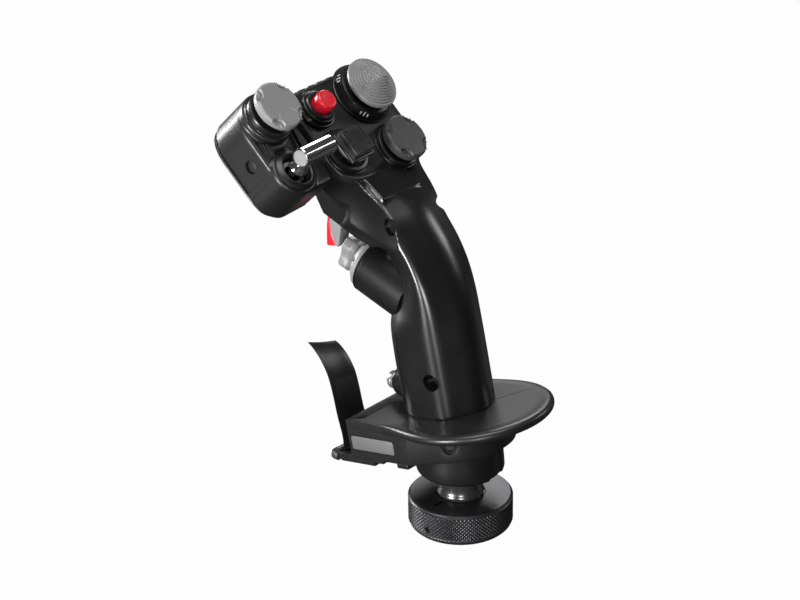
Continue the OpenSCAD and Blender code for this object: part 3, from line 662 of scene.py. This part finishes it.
headStations = [(-43.0, 28.0, -39.5, -36.0, -32.0, 10.5, 0.08),
                (-38.0, 27.0, -42.0, -39.0, -35.0, 13.5, 0.06),
                (-32.0, 26.0, -43.0, -42.0, -38.0, 15.8, 0.05), (-25.0, 24.6, -43.0, -43.0, -41.0, 17.0,
                                                                 0.05),
                (-14.0, 24.0, -43.0, -43.0, -42.0, 17.0, 0.05), (0.0, 24.0, -43.0, -43.0, -42.0, 17.0,
                                                                 0.05),
                (8.0, 24.0, -42.6, -42.6, -41.6, 16.6, 0.06), (12.4, 23.4, -41.6, -41.2, -40.6, 15.6, 0.07),
                (14.8, 22.0, -39.5, -39.0, -38.6, 13.6, 0.09)]
neckFront = [(50.5, 119.2), (54.0, 129.0), (57.0, 150.0), (30.0, 150.0), (8.0, 128.0), (12.0, 104.0),
             (22.5, 103.6), (34.5, 109.4), (43.5, 115.0)]
faceLow, faceHigh = span("face_plate", face)


# eight-sided section with rounded corners: across is x, deep runs from the back (0) to the front (1)
def section(leftBack, leftMiddle, leftFront, right, corner, square):
    flat = 0.18
    width = (right - leftBack) / 2
    middle = (right + leftBack) / 2
    turnIn, front, tip = 0.72 + 0.16 * square, 0.62 + 0.33 * square, 0.25 + 0.45 * square
    points = [(middle - flat * width, 0), (leftBack, corner), (leftMiddle, 0.45), (leftFront, turnIn),
              (leftFront * front, 0.95 + 0.04 * square), (leftFront * tip, 1), (right * tip * 0.7, 1),
              (right * front * 0.85, 0.95), (right, 0.72), (right, 0.45), (right, corner),
              (middle + flat * width, 0)]
    tall = 44.0
    scaled = [(x, y * tall) for x, y in points]
    setback = [4.0, 5.2, 7.0, 5.0, 5.0, 5.0, 5.0, 5.0, 5.0, 7.0, 5.2, 4.0]
    return [Vector((p.x, p.y / tall)) for p in rounded(scaled, setback, 5)]


def headSection(left, leftMiddle, leftFront, right, corner):
    points = [(left + 6, 0), (left, corner), (leftMiddle, 0.45), (leftFront, 0.8), (leftFront + 5, 0.99),
              (leftFront + 16, 1), (right - 14, 1), (right - 5, 0.99), (right - 0.6, 0.8), (right, 0.45),
              (right, corner), (right - 6, 0)]
    tall = 24.0
    scaled = [(x, y * tall) for x, y in points]
    setback = [1.4, 1.2, 6.0, 5.0, 3.5, 5.0, 5.0, 3.5, 5.0, 6.0, 1.2, 1.4]
    return [Vector((p.x, p.y / tall)) for p in rounded(scaled, setback, 5)]


def smoothRings(rings, between):
    out = []
    last = len(rings) - 1
    for j in range(last):
        for s in range(between):
            f = s / between
            ring = []
            for k in range(len(rings[0])):
                p = [rings[max(0, min(last, j + d))][k] for d in (-1, 0, 1, 2)]
                ring.append(0.5 * ((2 * p[1]) + (p[2] - p[0]) * f
                                   + (2 * p[0] - 5 * p[1] + 4 * p[2] - p[3]) * f ** 2
                                   + (3 * p[1] - p[0] - 3 * p[2] + p[3]) * f ** 3))
            out.append(ring)
    out.append(rings[-1])
    return out


def gripAndHead():
    rings = []
    for back, front, leftBack, leftMiddle, leftFront, right, corner, square in gripStations:
        ring = []
        for p in section(leftBack, leftMiddle, leftFront, right, corner, square):
            y = back[0] + (front[0] - back[0]) * p.y
            z = back[1] + (front[1] - back[1]) * p.y
            ring.append(lean @ (Vector((p.x, y, z)) * mm))
        rings.append(ring)
    plateTop = faceHigh.z
    for f, deep, left, leftMiddle, leftFront, right, corner in headStations:
        ring = []
        for p in headSection(left, leftMiddle, leftFront, right, corner):
            ring.append(face @ (Vector((p.x, f, plateTop - 1.1 - (deep - 1.1) * p.y)) * mm))
        rings.append(ring)
    body = loft("gripBody", smoothRings(rings, 5))
    cheek = loft("neckFront", [[lean @ (Vector((x, y, z)) * mm) for y, z in neckFront] for x in (-14.6,
                                                                                                 12.5)])
    scoop = bpy.data.meshes.new("scoop")
    work = bmesh.new()
    bmesh.ops.create_icosphere(work, subdivisions=6, radius=gripLook["scoopRadius"] * mm)
    work.to_mesh(scoop)
    work.free()
    scoopPiece = bpy.data.objects.new("scoop", scoop)
    bpy.context.scene.collection.objects.link(scoopPiece)
    scoopPiece.matrix_world = lean @ Matrix.Translation(Vector(gripLook["scoopAt"]) * mm)
    bpy.context.view_layer.update()
    cut(body, scoopPiece)
    body = melted("gripAndHead", [body, cheek], gripLook["voxel"], gripLook["soften"])
    slot = gripLook["triggerSlot"]
    cutters = [block("triggerSlot", (-slot, 28, 92), (slot, 80, 124.5), lean)]
    radius, bottom = 4.4, gripLook["screwHoleTo"]
    for y, z in gripLook["screws"]:
        cutters.append(rod("screwHole", (-26, y, z), (-bottom, y, z), radius, lean, 40))
        cutters.append(rod("screwHole", (bottom, y, z), (26, y, z), radius, lean, 40))
    pressLow, pressHigh = span("pinky_button", lean)
    pressed = (pressLow + pressHigh) / 2
    cutters.append(rod("buttonBore", (pressed.x, pressLow.y - 3, pressed.z), (pressed.x, 40, pressed.z),
                       (pressHigh.x - pressLow.x) / 2 + 0.3, lean, 40))
    dress(cut(body, *cutters), "root", ["grip_left_shell", "grip_right_shell", "head_housing"], sharp=38)


gripAndHead()
softened("shellScrews", "shell_screws", "root", 0.4)
print("grip made")


def facePlate():
    low, high = faceLow, faceHigh
    left, right = low.x + 0.3, high.x - 0.3
    bottom, top = low.y + 0.2, high.y - 0.3
    outline = rounded([(left, top - 1), (left, bottom + 9), (left + 7, bottom + 2.4), (left + 22, bottom),
                       (right - 14, bottom - 0.6), (right - 3, bottom + 3.5), (right,
                                                                               bottom + 12), (right, top)],
                      [5, 8, 5, 9, 8, 6, 6, 5], 6)
    rings = []
    centre = Vector(((left + right) / 2, (bottom + top) / 2))
    for inset, z in [(0.0, -3.6), (0.0, -1.1), (0.15, -0.55), (0.55, -0.15), (1.2, 0.0), (2.0, -0.02),
                     (2.5, -0.3), (3.4, -0.34)]:
        ring = []
        for p in outline:
            way = centre - p
            spot = p + way.normalized() * inset
            ring.append(face @ (Vector((spot.x, spot.y, high.z + z)) * mm))
        rings.append(ring)
    plate = loft("facePlate", rings)
    ribbed = face.inverted() @ placeOf("ribbed_tip") / mm
    pad = turned("ribbedPad", [(12.9, -4), (12.9, -0.6), (12.5, -0.2), (12.0, 0)],
                 moved(face, ribbed.x, ribbed.y, 0))
    dress(joined("facePlate", [plate, pad]), "root", ["face_plate"])


facePlate()
print("face made")


# hats, button and toggle on the face
def bezelProfile(radius, height, inner=7.0, depth=-6.0):
    return [(radius - 0.15, -0.4), (radius, 0.3), (radius, 0.7), (radius - 0.25, 1.0),
            (radius - 0.55, 1.05),
            (radius - 0.6, 1.3), (radius - 0.5, height - 0.8), (radius - 0.75, height - 0.25),
            (radius - 1.2, height), (radius - 2.6, height), (radius - 3.0, height - 0.5), (inner + 0.4,
                                                                                           height - 0.7),
            (inner, height - 1.1), (inner, depth), (inner + 1.4, depth), (inner + 1.4, -0.4)]


trimLook = {"steps": 10, "rim": 2.6}


def trimHat():
    high = span("trim_hat", face)[1]
    radius, top = high.x, high.z
    base = 8.6
    bezelHigh = span("trim_bezel", face)[1]
    outer = bezelHigh.x
    skirt = [(outer - 0.2, -0.4), (outer, 0.2), (outer, 0.8), (outer - 0.3, 1.1), (outer - 0.5, 1.15),
             (outer - 0.55, 1.5), (radius + 0.5, 5.6), (radius - 0.3, 6.0), (radius - 2.2, 6.0),
             (radius - 3.0, 5.4), (8.2, 4.8), (7.0, 4.2), (7.0, -6), (8.4, -6), (8.4, -0.4)]
    dress(turned("trimBezel", skirt, face, 128, hollow=True), "root", ["trim_bezel"])
    rings = [(0.0, top), (2.3, top), (2.55, top - 0.12)]
    step = (radius - 0.7 - 2.5) / trimLook["steps"]
    rise = (top - 0.1 - base - trimLook["rim"]) / trimLook["steps"]
    for k in range(trimLook["steps"]):
        r, z = 2.55 + step * k, top - 0.12 - rise * k
        rings += [(r + 0.12, z - rise * 0.75), (r + step * 0.35, z - rise * 0.98),
                  (r + step * 0.86, z - rise),
                  (r + step, z - rise - 0.08)]
    rings += [(radius - 0.35, base + trimLook["rim"] - 0.15), (radius, base + trimLook["rim"] - 0.7),
              (radius, base + 0.7), (radius - 0.4, base + 0.15), (radius - 1.2, base), (2.4, base)]
    rings += [(2.4, -5.0), (0.0, -5.0)]
    dress(turned("trimHat", rings, face, 128), "trim_hat_body", ["trim_hat"], sharp=24)
    ticks = []
    slope = math.atan2(outer - radius - 1.0, 4.5)
    for k in range(4):
        at = turnedBy(face, 90 * k + 45, "Z")
        plane = at @ Matrix.Translation(Vector(((outer + radius) / 2 + 0.02, 0, 3.75)) * mm) \
            @ Matrix.Rotation(math.pi / 2 - slope, 4, "Y")
        for bar in (-1.9, 0.0, 1.9):
            tall = 1.5 if bar else 2.3
            ticks.append(block("tick", (-tall / 2, bar - 0.24, -0.3), (tall / 2, bar + 0.24, 0.08), plane))
    piece = joined("trimTicks", ticks)
    piece.data.materials.append(coats["tickWhite"])
    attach(piece, "root")


castleLook = {"notch": 3.5, "sink": 1.3, "reach": 1.0, "lip": 0.32}


def castleHat(key, thick, look):
    place = onFace(key)
    high = span(key + "_hat", place)[1]
    bezelHigh = span(key + "_bezel", place)[1]
    dress(turned(key + "Bezel", bezelProfile(bezelHigh.x, bezelHigh.z), place, 112, hollow=True),
          "root", [key + "_bezel"])
    radius, top = high.x, high.z
    base = top - thick
    cap = turned("cap", [(0.0, top), (radius - 1.5, top), (radius - 0.9, top - 0.1),
                         (radius - 0.35, top - 0.5),
                         (radius, top - 1.1), (radius, base + 1.3), (radius - 0.25, base + 0.5),
                         (radius - 0.9, base), (2.4, base), (2.4, -5.0), (0.0, -5.0)], place, 112)
    cutters, lips = [], []
    for k in range(4):
        at = moved(turnedBy(place, 90 * k + 45, "Z"), radius + castleLook["reach"], 0, top)
        cutters.append(turned("notch", [(castleLook["notch"] + 1.6, 2.0),
                                        (castleLook["notch"], -castleLook["sink"])],
                              at, 40))
        lips.append(arcTube("lip", castleLook["notch"] + 0.85, castleLook["lip"], 118, 242,
                            moved(at, 0, 0, -0.08)))
        lips.append(arcTube("lip", castleLook["notch"] - 1.2, castleLook["lip"], 100, 260,
                            moved(at, 0, 0, -castleLook["sink"] + 0.1)))
    cut(cap, *cutters)
    dress(joined(key + "Hat", [cap] + lips), key + "_hat_body", [key + "_hat"], look, 30)


ribLook = {"ribs": 10, "ribWide": 0.8, "ribTall": 1.7}


def ribbedHat():
    place = onFace("ribbed")
    low, high = span("ribbed_hat", place)
    bezelHigh = span("ribbed_bezel", place)[1]
    dress(turned("ribbedBezel", bezelProfile(bezelHigh.x, bezelHigh.z), place, 112, hollow=True),
          "root", ["ribbed_bezel"])
    half, top, foot = high.x, high.z, low.z
    pieces = [block("ledge", (-half, -half, foot), (half, half, foot + 1.5), place, 0.35)]
    rings = []
    for inset, z in [(0.9, foot + 1.4), (1.5, foot + 2.2), (1.4, top - ribLook["ribTall"])]:
        edge = half - inset
        square = rounded([(-edge, -edge), (edge, -edge), (edge, edge), (-edge, edge)], 0.9, 3)
        rings.append([place @ (Vector((p.x, p.y, z)) * mm) for p in square])
    pieces.append(loft("core", rings))
    pitch = 2 * (half - 1.7) / (ribLook["ribs"] - 1)
    for k in range(ribLook["ribs"]):
        x = -half + 1.7 + pitch * k
        pieces.append(block("rib", (x - ribLook["ribWide"] / 2, -half + 1.9, top - ribLook["ribTall"]),
                            (x + ribLook["ribWide"] / 2, half - 1.9, top), place, 0.18))
    dress(joined("ribbedHat", pieces), "ribbed_hat_body", ["ribbed_hat"])
    under = span("ribbed_base", place)[1]
    r, z = under.x, under.z
    dress(turned("ribbedBase", [(0.0, z), (r - 0.5, z), (r, z - 0.4), (r - 0.4, z - 1.5), (2.4, z - 1.8),
                                (2.4, -5.0), (0.0, -5.0)], place, 72), "ribbed_hat_body", ["ribbed_base"])


releaseLook = {"facets": 12, "dish": 0.25}


def releaseButton():
    low, high = span("release_button", face)
    middle = (low + high) / 2
    place = moved(face, middle.x, middle.y, 0)
    r, top = (high.x - low.x) / 2, high.z
    cHigh = span("release_collar", place)[1]
    outer, rise = cHigh.x, cHigh.z
    profile = [(outer - 0.2, -0.4), (outer, 0.2), (outer, 1.6), (outer - 0.4, 2.1), (outer - 0.9, 2.2),
               (outer - 1.2, 2.6), (outer - 1.3, rise - 1.9), (outer - 1.7, rise - 1.5), (outer - 2.1,
                                                                                          rise - 1.45),
               (outer - 2.3, rise - 1.1), (outer - 2.4, rise - 0.3), (outer - 2.8, rise), (r + 0.6, rise),
               (r + 0.06, rise - 0.5), (r + 0.06, 1.5), (2.4, 1.5), (2.4, -0.4)]
    dress(turned("releaseCollar", profile, place, 96, hollow=True), "root", ["release_collar"],
          "black_anodised")
    rings = []
    steps = releaseLook["facets"] * 4
    for share, z in [(1.0, low.z), (1.0, rise - 0.6), (0.97, rise), (1.0, rise + 0.3), (1.0, top - 1.1),
                     (0.96, top - 0.45), (0.88, top - 0.08), (0.8, top), (0.5,
                                                                          top - releaseLook["dish"] * 0.6),
                     (0.15, top - releaseLook["dish"])]:
        ring = []
        for k in range(steps):
            a = math.tau * k / steps
            wave = 1 - 0.035 * (z > rise) * (1 + math.cos(releaseLook["facets"] * a)) / 2
            ring.append(place @ (Vector((r * share * wave * math.cos(a), r * share * wave * math.sin(a),
                                         z)) * mm))
        rings.append(ring)
    dress(loft("releaseButton", rings), "release", ["release_button"])


def toggle():
    place = onFace("toggle")
    bezelHigh = span("toggle_bezel", place)[1]
    outer, rise = bezelHigh.x, bezelHigh.z
    well = [(outer - 0.2, -0.5), (outer, 0.2), (outer, 0.7), (outer - 0.5, 1.2), (outer - 1.5, rise - 0.5),
            (outer - 2.0, rise - 0.1), (outer - 2.6, rise), (outer - 3.0, rise - 0.3), (7.0, 0.6), (7.0,
                                                                                                    -6.0),
            (8.4, -6.0), (8.4, -0.5)]
    dress(turned("toggleBezel", well, place, 96, hollow=True), "root", ["toggle_bezel"])
    barrelLow, barrelHigh = span("toggle_barrel", place)
    radius = (barrelHigh.z - barrelLow.z) / 2
    middle, half = (barrelHigh.z + barrelLow.z) / 2, barrelHigh.x
    neck = [(0.0, -5.0), (2.4, -5.0), (2.4, 1.0), (4.4, 1.6), (4.9, 2.4), (4.8, 3.4), (3.9, 5.0),
            (3.0, 6.6),
            (2.7, 8.4), (2.5, middle - radius - 1.2), (3.2, middle - radius + 0.3), (0.0,
                                                                                     middle - radius + 0.5)]
    dress(turned("toggleStem", neck, place, 72), "toggle_hat_body", ["toggle_stem"])
    lying = moved(place, 0, 0, middle) @ Matrix.Rotation(math.pi / 2, 4, "Y")
    shape = [(0.0, -half + 0.25), (radius - 0.95, -half + 0.25), (radius - 0.75, -half),
             (radius - 0.3, -half + 0.1),
             (radius, -half + 0.5), (radius, half - 0.5), (radius - 0.3, half - 0.1), (radius - 0.75, half),
             (radius - 0.95, half - 0.25), (0.0, half - 0.25)]
    barrel = turned("toggleBarrel", shape, lying, 96)
    dress(barrel, "toggle_hat_body", ["toggle_barrel"], sharp=22)
    barrel.data.materials.append(coats["gray_metal"])
    for polygon in barrel.data.polygons:
        out = (lying.inverted() @ polygon.center).z / mm
        if abs(out) > half - 0.3 and (lying.inverted() @ polygon.center).xy.length / mm < radius - 0.8:
            polygon.material_index = 1


trimHat()
castleHat("gray", 4.4, None)
castleHat("black", 5.0, "capBlack")
ribbedHat()
releaseButton()
toggle()
print("hats made")


# box beside the head
boxLook = {"voxel": 0.5, "soften": 6}


def thumbBox():
    low, high = span("thumb_box", face)
    coverLow, coverHigh = span("thumb_box_cover", face)
    gray = face.inverted() @ placeOf("gray_tip") / mm
    tog = face.inverted() @ placeOf("toggle_tip") / mm
    grayTop, togTop = gray.z + pivotRise, tog.z + pivotRise
    right, left = high.x, low.x + 0.9
    bottom, top = low.y, high.y
    deck = togTop - 1.2
    outline = rounded([(left, tog.y + 1), (left + 1.2, bottom + 6), (left + 9, bottom + 0.2),
                       (right - 2, bottom + 0.6),
                       (right, bottom + 5), (right, top - 1.5), (right - 5, top), (gray.x,
                                                                                   top), (left + 4,
                                                                                          top - 4),
                       (left, gray.y)], [4, 3.5, 3.5, 2, 2, 2, 3, 6, 6, 5], 5)
    slabBody = slab("boxBody", outline, coverHigh.z - 0.2, deck, face, 1.6)
    grayBoss = turned("grayBoss", [(0, coverHigh.z), (13.2, coverHigh.z), (13.2, grayTop - 1.0),
                                   (12.9, grayTop - 0.4),
                                   (12.3, grayTop), (0, grayTop)], moved(face, gray.x, gray.y, 0))
    togBoss = turned("togBoss", [(0, coverHigh.z), (12.2, coverHigh.z), (12.2, togTop - 1.2),
                                 (11.9, togTop - 0.5),
                                 (11.2, togTop), (0, togTop)], moved(face, tog.x, tog.y, 0))
    body = melted("thumbBox", [slabBody, grayBoss, togBoss], boxLook["voxel"], boxLook["soften"])
    cutters = [turned("hatBore", [(8.5, -9), (8.5, 9)], moved(face, at.x, at.y, at.z + pivotRise), 64)
               for at in (gray, tog)]
    sideY = (gray.y + tog.y) / 2 - 1
    sideZ = grayTop - 13.4
    cutters.append(rod("sideHole", (left - 6, sideY, sideZ), (left + 3.0, sideY, sideZ), 3.3, face, 40))
    valley = rounded([(-9, -3.2), (9, -3.2), (9, 3.2), (-9, 3.2)], 1.0)
    cutters.append(slab("valley", valley, -2.2, 3,
                        turnedBy(moved(face, tog.x + 12.5, (gray.y + tog.y) / 2 + 1.0, deck), 80,
                                 "Z"), 0.5))
    dress(cut(body, *cutters), "root", ["thumb_box"], sharp=34)
    steps = []
    ridge = turnedBy(moved(face, left + 5.2, (gray.y + tog.y) / 2 - 0.2, deck), 78, "Z")
    for long, wide, rise in [(9.5, 5.4, 0.5), (8.0, 3.6, 1.2), (6.6, 1.8, 1.9)]:
        steps.append(block("step", (-long / 2, -wide / 2, -3), (long / 2, wide / 2, rise), ridge, 0.25))
    ridgePiece = joined("boxRidge", steps)
    ridgePiece.data.materials.append(coats["matte_black"])
    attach(ridgePiece, "root")
    cover = slab("thumbBoxCover", outline, coverLow.z, coverHigh.z - 0.25, face, 0.9)
    dress(cover, "root", ["thumb_box_cover"])


thumbBox()
softened("boxScrews", "box_screws", "root", 0.3, 2, "black_plastic")
print("thumb box made")


# front boss and knob, lower button, trigger
bossLook = {"cornerReach": 1.17, "waist": 0.5, "dish": 1.5}


def frontBoss():
    low, high = span("front_boss", boss)
    r = high.x
    profile = [(r - 2.4, low.z), (r, low.z), (r, -2.2), (r - 0.35, -1.7), (r - 0.35, -1.3), (r, -1.0),
               (r, -0.5),
               (r - 0.5, -0.1), (r - 1.1, -0.1), (8.6, -0.1), (8.6, -7.0), (r - 2.4, -7.0)]
    dress(turned("frontBoss", profile, boss, 120, hollow=True), "root", ["front_boss"])
    flangeHigh = span("front_flange", boss)[1]
    edge, rise = flangeHigh.x, flangeHigh.z
    ring = turned("frontFlange", [(edge - 0.2, 0.0), (edge, 0.3), (edge, rise * 0.4),
                                  (edge - 0.5, rise * 0.55),
                                  (edge - 1.4, rise * 0.62), (edge - 2.0, rise * 0.9), (edge - 2.6, rise),
                                  (8.2, rise), (7.0, rise - 0.7), (7.0, -6.0), (8.45, -6.0), (8.45, 0.0)],
                  boss, 120, hollow=True)
    slots = [block("slot", (edge - 3.6, -1.3, rise * 0.5), (edge + 1, 1.3, rise + 1),
                   turnedBy(boss, 45 * k + 22, "Z"))
             for k in range(8)]
    dress(cut(ring, *slots), "root", ["front_flange"])
    knobHigh = span("front_knob", boss)[1]
    half, top, foot = knobHigh.x, knobHigh.z, flangeHigh.z + 1.6
    rings = []
    steps = 96
    for share, z, dip in [(0.6, foot, 0), (0.68, foot + 0.5, 0), (0.94, foot + 2.6, 0),
                          (1.0, foot + 3.4, 0),
                          (1.0, top - 0.8, 0.0), (0.96, top - 0.2, 0.1), (0.88, top, 0.3), (0.8,
                                                                                            top - 0.05, 0.8),
                          (0.66, top - 0.1, 1.0), (0.5, top - 0.3, 0.9), (0.25, top - 0.9, 0.4),
                          (0.06, top - 1.4, 0.0)]:
        ring = []
        for k in range(steps):
            a = math.tau * k / steps
            toSide = (abs(math.cos(2 * a)) * (math.cos(4 * a) + 1) / 2)
            squareR = min(half / max(abs(math.cos(a)), abs(math.sin(a))), half * bossLook["cornerReach"])
            r = (squareR - bossLook["waist"] * toSide) * share
            ring.append(boss @ (Vector((r * math.cos(a), r * math.sin(a),
                                        z - bossLook["dish"] * dip * toSide ** 1.5)) * mm))
        rings.append(ring)
    knob = loft("frontKnob", rings)
    stem = turned("stem", [(0.0, -5.0), (2.4, -5.0), (2.4, foot - 0.6), (4.6, foot + 0.2),
                           (4.6, foot + 1.0),
                           (0.0, foot + 1.0)], boss, 40)
    dress(joined("frontKnob", [knob, stem]), "front_hat_body", ["front_knob"], "knobSilver")


def lowerButton():
    low, high = span("pinky_button", lean)
    middle = (low + high) / 2
    place = lean @ Matrix.Translation(Vector((middle.x, 0,
                                              middle.z)) * mm) @ Matrix.Rotation(-math.pi / 2, 4, "X")
    r = (high.x - low.x) / 2
    cLow, cHigh = span("pinky_collar", lean)
    outer, back, front = cHigh.x, cLow.y, cHigh.y
    profile = [(2.0, back), (r + 1.1, back), (r + 1.1, back + 4.5), (outer - 0.4, back + 4.6),
               (outer, back + 5.0),
               (outer, front - 2.6), (outer - 0.5, front - 2.0), (outer - 0.9, front - 1.7), (outer - 1.2,
                                                                                              front - 0.5),
               (outer - 1.8, front), (r + 0.7, front), (r + 0.06, front - 0.5), (r + 0.06, back + 1.2),
               (2.0, back + 1.2)]
    collar = turned("lowerCollar", profile, place, 96, hollow=True)
    slots = [block("flute", (outer - 0.6, -1.1, back + 4), (outer + 1, 1.1, front + 1),
                   turnedBy(place, 45 * k, "Z"))
             for k in range(8)]
    dress(cut(collar, *slots), "root", ["pinky_collar"])
    y0, y1 = low.y, high.y
    button = [(0.0, y0), (r, y0), (r, y1 - 2.6), (r - 0.2, y1 - 2.3), (r, y1 - 2.0), (r, y1 - 0.7),
              (r - 0.25, y1 - 0.2), (r - 0.8, y1), (0.0, y1 - 0.15)]
    dress(turned("lowerButton", button, place, 72), "pinky", ["pinky_button"])


frontBoss()
lowerButton()
softened("triggerBody", "trigger_body", "trigger", 1.2, 4)
softened("triggerBlade", "trigger_blade", "trigger", 0.9, 4)
softened("triggerPin", "trigger_pin", "root", 0.25)
softened("triggerBracket", "trigger_bracket", "root", 0.3)
softened("triggerSwitch", "trigger_switch", "root", 0.3)
for key in ("trim", "ribbed", "black", "gray", "toggle", "front"):
    softened(key + "Gimbal", key + "_gimbal", key + "_gimbal_body", 0.15)
softened("gripBoard", "grip_board", "root", 0.2)
softened("headBoard", "head_board", "root", 0.2)
print("front controls made")


# floor, light and camera
studio = {"floor": (0.05, 0.05, 0.05), "floorSize": 6.0, "floorGlow": 0.985, "sky": 1.0, "fill": 0.06,
          "aim": (0.0158, 0.0522, 0.0993),
          "back": (-0.67269, -0.60570, 0.42499), "up": (0.32746, 0.27136, 0.90505), "distance": 1.1046,
          "lens": 100.0}
lamps = [("topLamp", (-0.2, -0.1, 1.3), 0.8, 12.0), ("backLamp", (-1.2, -1.1, 0.25), 0.3, 12.0),
         ("frontLamp", (-0.25, 1.35, 0.35), 0.4, 18.0), ("leftLamp", (-1.25, 0.1, 0.12), 0.3, 26.0),
         ("farLamp", (0.9, 0.8, 0.8), 0.5, 5.0), ("rightLamp", (1.2, -0.5, 0.7), 0.4, 3.0)]


def studioSetup():
    size = studio["floorSize"]
    floor = meshPiece("floor", [(-size, -size, 0), (size, -size, 0), (size, size, 0), (-size, size, 0)],
                      [(0, 1, 2, 3)])
    pale = bpy.data.materials.new("paleFloor")
    pale.use_nodes = True
    shader = pale.node_tree.nodes["Principled BSDF"]
    shader.inputs["Base Color"].default_value = (*studio["floor"], 1)
    shader.inputs["Roughness"].default_value = 0.8
    shader.inputs["Specular IOR Level"].default_value = 0.1
    glow = pale.node_tree.nodes.new("ShaderNodeEmission")
    glow.inputs["Strength"].default_value = studio["sky"]
    eye = pale.node_tree.nodes.new("ShaderNodeLightPath")
    share = pale.node_tree.nodes.new("ShaderNodeMath")
    share.operation = "MULTIPLY"
    share.inputs[1].default_value = studio["floorGlow"]
    blend = pale.node_tree.nodes.new("ShaderNodeMixShader")
    pale.node_tree.links.new(eye.outputs["Is Camera Ray"], share.inputs[0])
    pale.node_tree.links.new(share.outputs["Value"], blend.inputs["Fac"])
    pale.node_tree.links.new(shader.outputs["BSDF"], blend.inputs[1])
    pale.node_tree.links.new(glow.outputs["Emission"], blend.inputs[2])
    pale.node_tree.links.new(blend.outputs["Shader"],
                             pale.node_tree.nodes["Material Output"].inputs["Surface"])
    floor.data.materials.append(pale)
    sky = bpy.data.worlds.new("studioSky")
    sky.use_nodes = True
    tree = sky.node_tree
    back = tree.nodes["Background"]
    back.inputs["Color"].default_value = (1, 1, 1, 1)
    back.inputs["Strength"].default_value = studio["sky"]
    soft = tree.nodes.new("ShaderNodeBackground")
    soft.inputs["Color"].default_value = (1, 1, 1, 1)
    soft.inputs["Strength"].default_value = studio["fill"]
    seen = tree.nodes.new("ShaderNodeLightPath")
    choose = tree.nodes.new("ShaderNodeMixShader")
    tree.links.new(seen.outputs["Is Camera Ray"], choose.inputs["Fac"])
    tree.links.new(soft.outputs["Background"], choose.inputs[1])
    tree.links.new(back.outputs["Background"], choose.inputs[2])
    tree.links.new(choose.outputs["Shader"], tree.nodes["World Output"].inputs["Surface"])
    bpy.context.scene.world = sky
    aim = Vector(studio["aim"])
    for name, at, side, power in lamps:
        light = bpy.data.lights.new(name, "AREA")
        light.shape = "SQUARE"
        light.size = side
        light.energy = power
        lamp = bpy.data.objects.new(name, light)
        bpy.context.scene.collection.objects.link(lamp)
        lamp.location = Vector(at)
        lamp.rotation_euler = (aim - Vector(at)).to_track_quat("-Z", "Y").to_euler()
    view = bpy.data.cameras.new("viewCamera")
    view.lens = studio["lens"]
    view.sensor_width = 36.0
    view.clip_end = 20.0
    camera = bpy.data.objects.new("viewCamera", view)
    bpy.context.scene.collection.objects.link(camera)
    back, up = Vector(studio["back"]).normalized(), Vector(studio["up"]).normalized()
    camera.matrix_world = seat(up.cross(back), up, aim + back * studio["distance"])
    bpy.context.scene.camera = camera
    bpy.context.scene.view_settings.view_transform = "Standard"


studioSetup()
